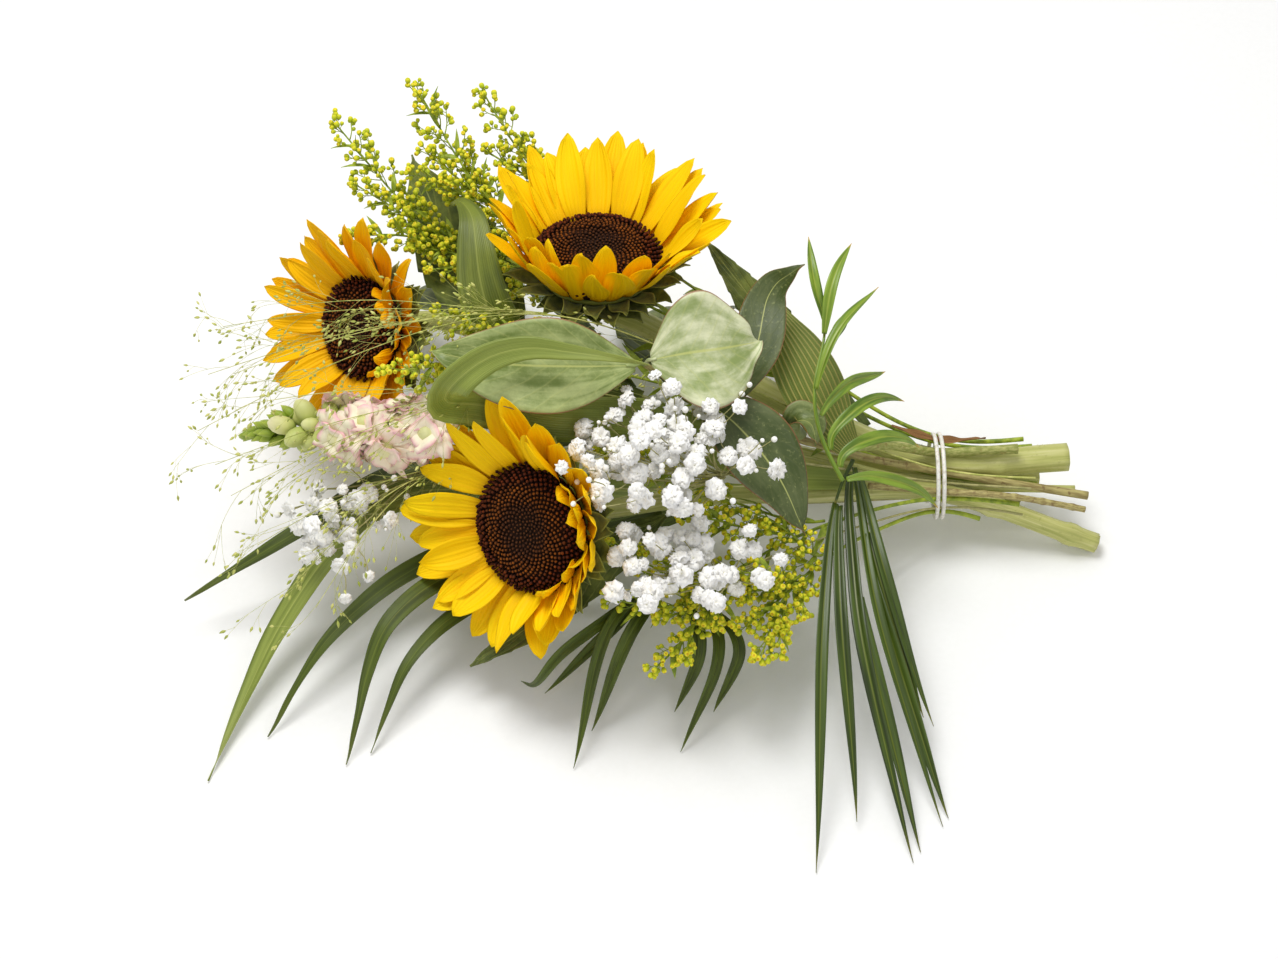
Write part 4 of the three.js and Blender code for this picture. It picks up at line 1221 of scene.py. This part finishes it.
FULL = [(7, 1.0, 0.1), (6, 0.88, 0.42), (5, 0.68, 0.85), (3, 0.45, 1.2)]
HALF_OPEN = [(6, 1.0, 0.7), (5, 0.85, 1.0), (4, 0.6, 1.3)]
FLORETS = [ruffled_floret(seed, FULL, 6.2 * MM, 0.2) for seed in (101, 102, 103)]
FLORETS.append(ruffled_floret(104, HALF_OPEN, 5.5 * MM))
FLORET_CHANCES = (0.3, 0.3, 0.25, 0.15)
SIDE_TWIGS = 2.6 * 1.5  # on each branch, on average


def gypsophila(name, seed):
    """Baby's breath: white double florets and small round buds at the ends of forking, wiry twigs."""
    rng = np.random.default_rng(seed)
    florets, twigs = Build(), Build()
    bud = turned_form([(0.5, 0), (1.2, 0.7), (1.5, 1.7), (1.2, 2.7), (0.4, 3.3)], 8)
    cup = turned_form([(0.35, -2.6), (1.1, -1.8), (1.6, -0.4), (1.3, 0.2)], 7)

    def bloom(place, way, scale):
        """One floret with the cup under it."""
        turn = rolled(rng, way)
        florets.stamp(FLORETS[rng.choice(4, p=FLORET_CHANCES)], turn, place, scale, rng.random() * 0.6)
        twigs.stamp(cup, turn, place, scale, rng.random())

    for number, points in fresh_routes(name, extreme(name, 0), 60, 3, 1.5 * MM, 4, 30 * MM):
        thick = 0.75 * MM if number == 0 else 0.5 * MM
        twigs.tube(points, np.linspace(thick, 0.32 * MM, len(points)), 5, rng.random())
        ahead = tangents(points)
        tip_way = unit(ahead[-1] + 0.9 * TOWARDS_VIEWER + rng.normal(0, 0.3, 3))
        bloom(points[-1], tip_way, rng.uniform(0.78, 1.05))
        for _ in range(rng.poisson(SIDE_TWIGS)):
            k = rng.integers(len(points) // 2, len(points))
            way = unit(ahead[k] * 0.5 + unit(rng.normal(0, 1, 3)) + 0.4 * TOWARDS_VIEWER)
            size = rng.uniform(8, 21) * MM
            end = points[k] + way * size + ahead[k] * size * 0.3
            twig = along_curve([points[k], points[k] + way * size * 0.5, end], 6)
            twigs.tube(twig, 0.28 * MM, 4, rng.random())
            out = unit(end - points[k] + 0.6 * TOWARDS_VIEWER * size)
            if rng.random() < 0.6:
                bloom(end, out, rng.uniform(0.5, 0.95))
            else:
                florets.stamp(bud, turned_to(out), end, rng.uniform(0.6, 1.2), 0.2)
                twigs.stamp(cup, turned_to(out), end + out * 1.2 * MM, 0.7, 0.5)
    florets.piece(f"{name}_florets", GYPSOPHILA, "gypsophila", name)
    twigs.piece(f"{name}_twigs", GYPSOPHILA_TWIG, "gypsophila", name)


def inside_box(points, room):
    """Whether points keep within the CAD model's box and a little room round it."""
    low, high = np.array(CAD_BOX[0]) - room, np.array(CAD_BOX[1]) + room
    return bool(np.all((points >= low) & (points <= high)))


def panicum(name, seed):
    """Switchgrass: hair-fine branches that fork and droop, with a seed at every tip."""
    rng = np.random.default_rng(seed)
    build = Build()
    seed_form = turned_form([(0.15, 0), (0.55, 0.6), (0.68, 1.3), (0.42, 2.2), (0.08, 2.9)], 5)
    longest, spacing = 30 * MM, 12 * MM

    def hair(start, way, length, thick, level):
        """A hair that arches over, forks up to twice more, and ends in a seed."""
        t = np.linspace(0, 1, 7)[:, None]
        bend = unit(rng.normal(0, 1, 3)) * 0.22 + np.array([0, 0, -0.16])
        points = start + way * length * t + bend * length * t ** 2
        if not inside_box(points, 5 * MM):
            return
        build.tube(points, np.linspace(thick, thick * 0.7, 7), 3, rng.random())
        end_way = unit(points[-1] - points[-2])
        build.stamp(seed_form, turned_to(end_way), points[-1], rng.uniform(0.8, 1.25), rng.random())
        for _ in range(2 - level):
            k = rng.integers(2, 6)
            onward = unit(points[k + 1] - points[k])
            hair(points[k], sprout(rng, onward, rng.uniform(0, 6), rng.uniform(0.25, 0.6)),
                 length * rng.uniform(0.35, 0.7), thick * 0.8, level + 1)

    for number, points in fresh_routes(name, extreme(name, 0), 70, 4, 1.5 * MM, 6):
        thick = 0.6 * MM if number == 0 else 0.3 * MM
        build.tube(points, np.linspace(thick, 0.16 * MM, len(points)), 5, rng.random())
        ahead = tangents(points)
        run = distances(points)
        start = run[-1] * 0.35 if number == 0 else 0.0
        for place in np.arange(start, run[-1], spacing):
            k = min(int(np.searchsorted(run, place)), len(points) - 2)
            way = sprout(rng, ahead[k], rng.uniform(0, 6), rng.uniform(0.25, 0.75))
            hair(points[k], way, longest * rng.uniform(0.5, 1.1), 0.13 * MM, 0)
    build.piece(name, PANICUM, "panicum", name)


def snapdragon():
    """The snapdragon spike: a cone of green buds, swelling to pale buds, then open ruffled flowers."""
    rng = np.random.default_rng(131)
    routes = branch_routes("snapdragon_spike", extreme("snapdragon_spike", 0))
    axis = smoothed(routes[0], 120, 4)
    ahead = tangents(axis)
    run = distances(axis)
    green, flowers = Build(), Build()
    green.tube(axis, np.linspace(2.2 * MM, 0.8 * MM, len(axis)), 8, 0.2)
    scale_bud = turned_form([(0.9, -1.0), (2.0, 0.6), (2.6, 2.4), (2.3, 4.6), (1.4, 6.6), (0.5, 8.0),
                             (0.1, 8.8)], 9)
    fat_bud = turned_form([(1.4, -1), (3.6, 1.2), (4.8, 4.2), (5.0, 7.6), (4.2, 10.8), (2.6, 13.0),
                           (0.6, 14.2)], 14)
    cone, budding = 37 * MM, 62 * MM
    place, turn = run[-1], 0.0
    while place > run[-1] - budding:
        back = run[-1] - place
        k = min(int(np.searchsorted(run, place)), len(axis) - 1)
        turn += GOLDEN_TURN
        share = min(back / (34 * MM), 1)
        way = sprout(rng, ahead[k], turn, 0.2 + 0.5 * share)
        foot = axis[k] + way * (0.4 + 3.0 * share) * MM + (way - ahead[k]) * 7.0 * share * MM
        if back < cone:
            green.stamp(scale_bud, rolled(rng, way), foot, 0.6 + 0.5 * share, 0.22 * rng.random())
            place -= (0.45 + 0.35 * share) * MM
        else:
            way = sprout(rng, ahead[k], turn, 0.9)
            green.stamp(fat_bud, rolled(rng, way), axis[k] + way * 4 * MM, rng.uniform(0.75, 1.05),
                        0.5 + 0.5 * rng.random())
            place -= 2.2 * MM
    lips = [(5, 1.0, 0.5), (4, 0.7, 1.1)]
    kinds = [ruffled_floret(seed, lips, 14.5 * MM, 0.15, 8, 11, 0.95, 0.2) for seed in (132, 133, 134)]
    throat = turned_form([(1.8, -14), (4.8, -11.5), (6.6, -7.5), (7.2, -3), (6.2, 1.5), (3.6, 4.6),
                          (0.8, 6)], 16)
    for route in routes[1:]:
        tip = route[-1]
        nearest = int(np.linalg.norm(axis - tip, axis=1).argmin())
        if run[-1] - run[nearest] < 52 * MM:
            continue
        out = unit(tip - axis[nearest])
        turn = rolled(rng, unit(out + 0.35 * ahead[nearest] + 0.35 * TOWARDS_VIEWER))
        place = axis[nearest] + out * max(np.linalg.norm(tip - axis[nearest]) - 4 * MM, 9 * MM)
        size = rng.uniform(0.8, 1.05)
        flowers.stamp(kinds[rng.integers(3)], turn, place, size, rng.random())
        green.stamp(throat, turn, place, size, rng.uniform(0.7, 1.0))
    flowers.piece("snapdragon_flowers", SNAPDRAGON, "snapdragon", "snapdragon_spike")
    green.piece("snapdragon_buds", SNAP_BUD, "snapdragon", "snapdragon_spike")


for number in range(1, 7):
    goldenrod(f"goldenrod_{number}", 110 + number)
for number in range(1, 4):
    gypsophila(f"gypsophila_{number}", 120 + number)
    panicum(f"panicum_{number}", 140 + number)
snapdragon()


# ---- stage, light and camera ----
FLOOR_REACH = 6.0
CAMERA_TARGET = np.array([-0.0047, 0.0048, 0.0598])
CAMERA_ELEVATION = math.radians(50)
CAMERA_DISTANCE = 1.569
CAMERA_LENS = 85.0
# name, place, size and power
LIGHTS = (
    ("key_light", (-0.25, 0.3, 1.55), 0.7, 17.0),
    ("fill_light", (0.4, -1.3, 0.9), 1.2, 4.0),
)


def aim(thing, target):
    """Turns a light or camera to look at a point."""
    direction = np.asarray(target) - np.array(thing.location)
    thing.rotation_euler = mathutils.Vector(direction).to_track_quat("-Z", "Y").to_euler()


def stage_and_light():
    """A pale floor and soft studio light from above and in front."""
    mesh = bpy.data.meshes.new("studio_floor")
    corners = [(x * FLOOR_REACH, y * FLOOR_REACH, 0) for x, y in ((-1, -1), (1, -1), (1, 1), (-1, 1))]
    mesh.from_pydata(corners, [], [(0, 1, 2, 3)])
    floor = new_object("studio_floor", mesh)
    paper = Finish("studio_paper")
    grain = paper.noise(paper.place, 300.0)
    paper.colour = paper.mix(grain, "#f6f6f4", "#fbfbfa")
    mesh.materials.append(paper.done(0.9, grain, 0.02 * MM, 0.2))
    bpy.context.scene.view_settings.view_transform = "Standard"
    world = bpy.data.worlds.new("studio")
    bpy.context.scene.world = world
    world.use_nodes = True
    background = world.node_tree.nodes["Background"]
    background.inputs["Color"].default_value = (1.0, 1.0, 1.0, 1.0)
    background.inputs["Strength"].default_value = 0.5
    for name, place, size, power in LIGHTS:
        data = bpy.data.lights.new(name, "AREA")
        data.energy = power
        data.size = size
        light = new_object(name, data)
        light.location = place
        aim(light, CAMERA_TARGET)


def camera():
    """The camera, above and in front of the bunch."""
    data = bpy.data.cameras.new("camera")
    data.lens = CAMERA_LENS
    data.sensor_width = 36.0
    data.clip_end = 20.0
    view = new_object("camera", data)
    back = np.array([0.0, -math.cos(CAMERA_ELEVATION), math.sin(CAMERA_ELEVATION)])
    view.location = CAMERA_TARGET + back * CAMERA_DISTANCE
    aim(view, CAMERA_TARGET)
    bpy.context.scene.camera = view


stage_and_light()
camera()
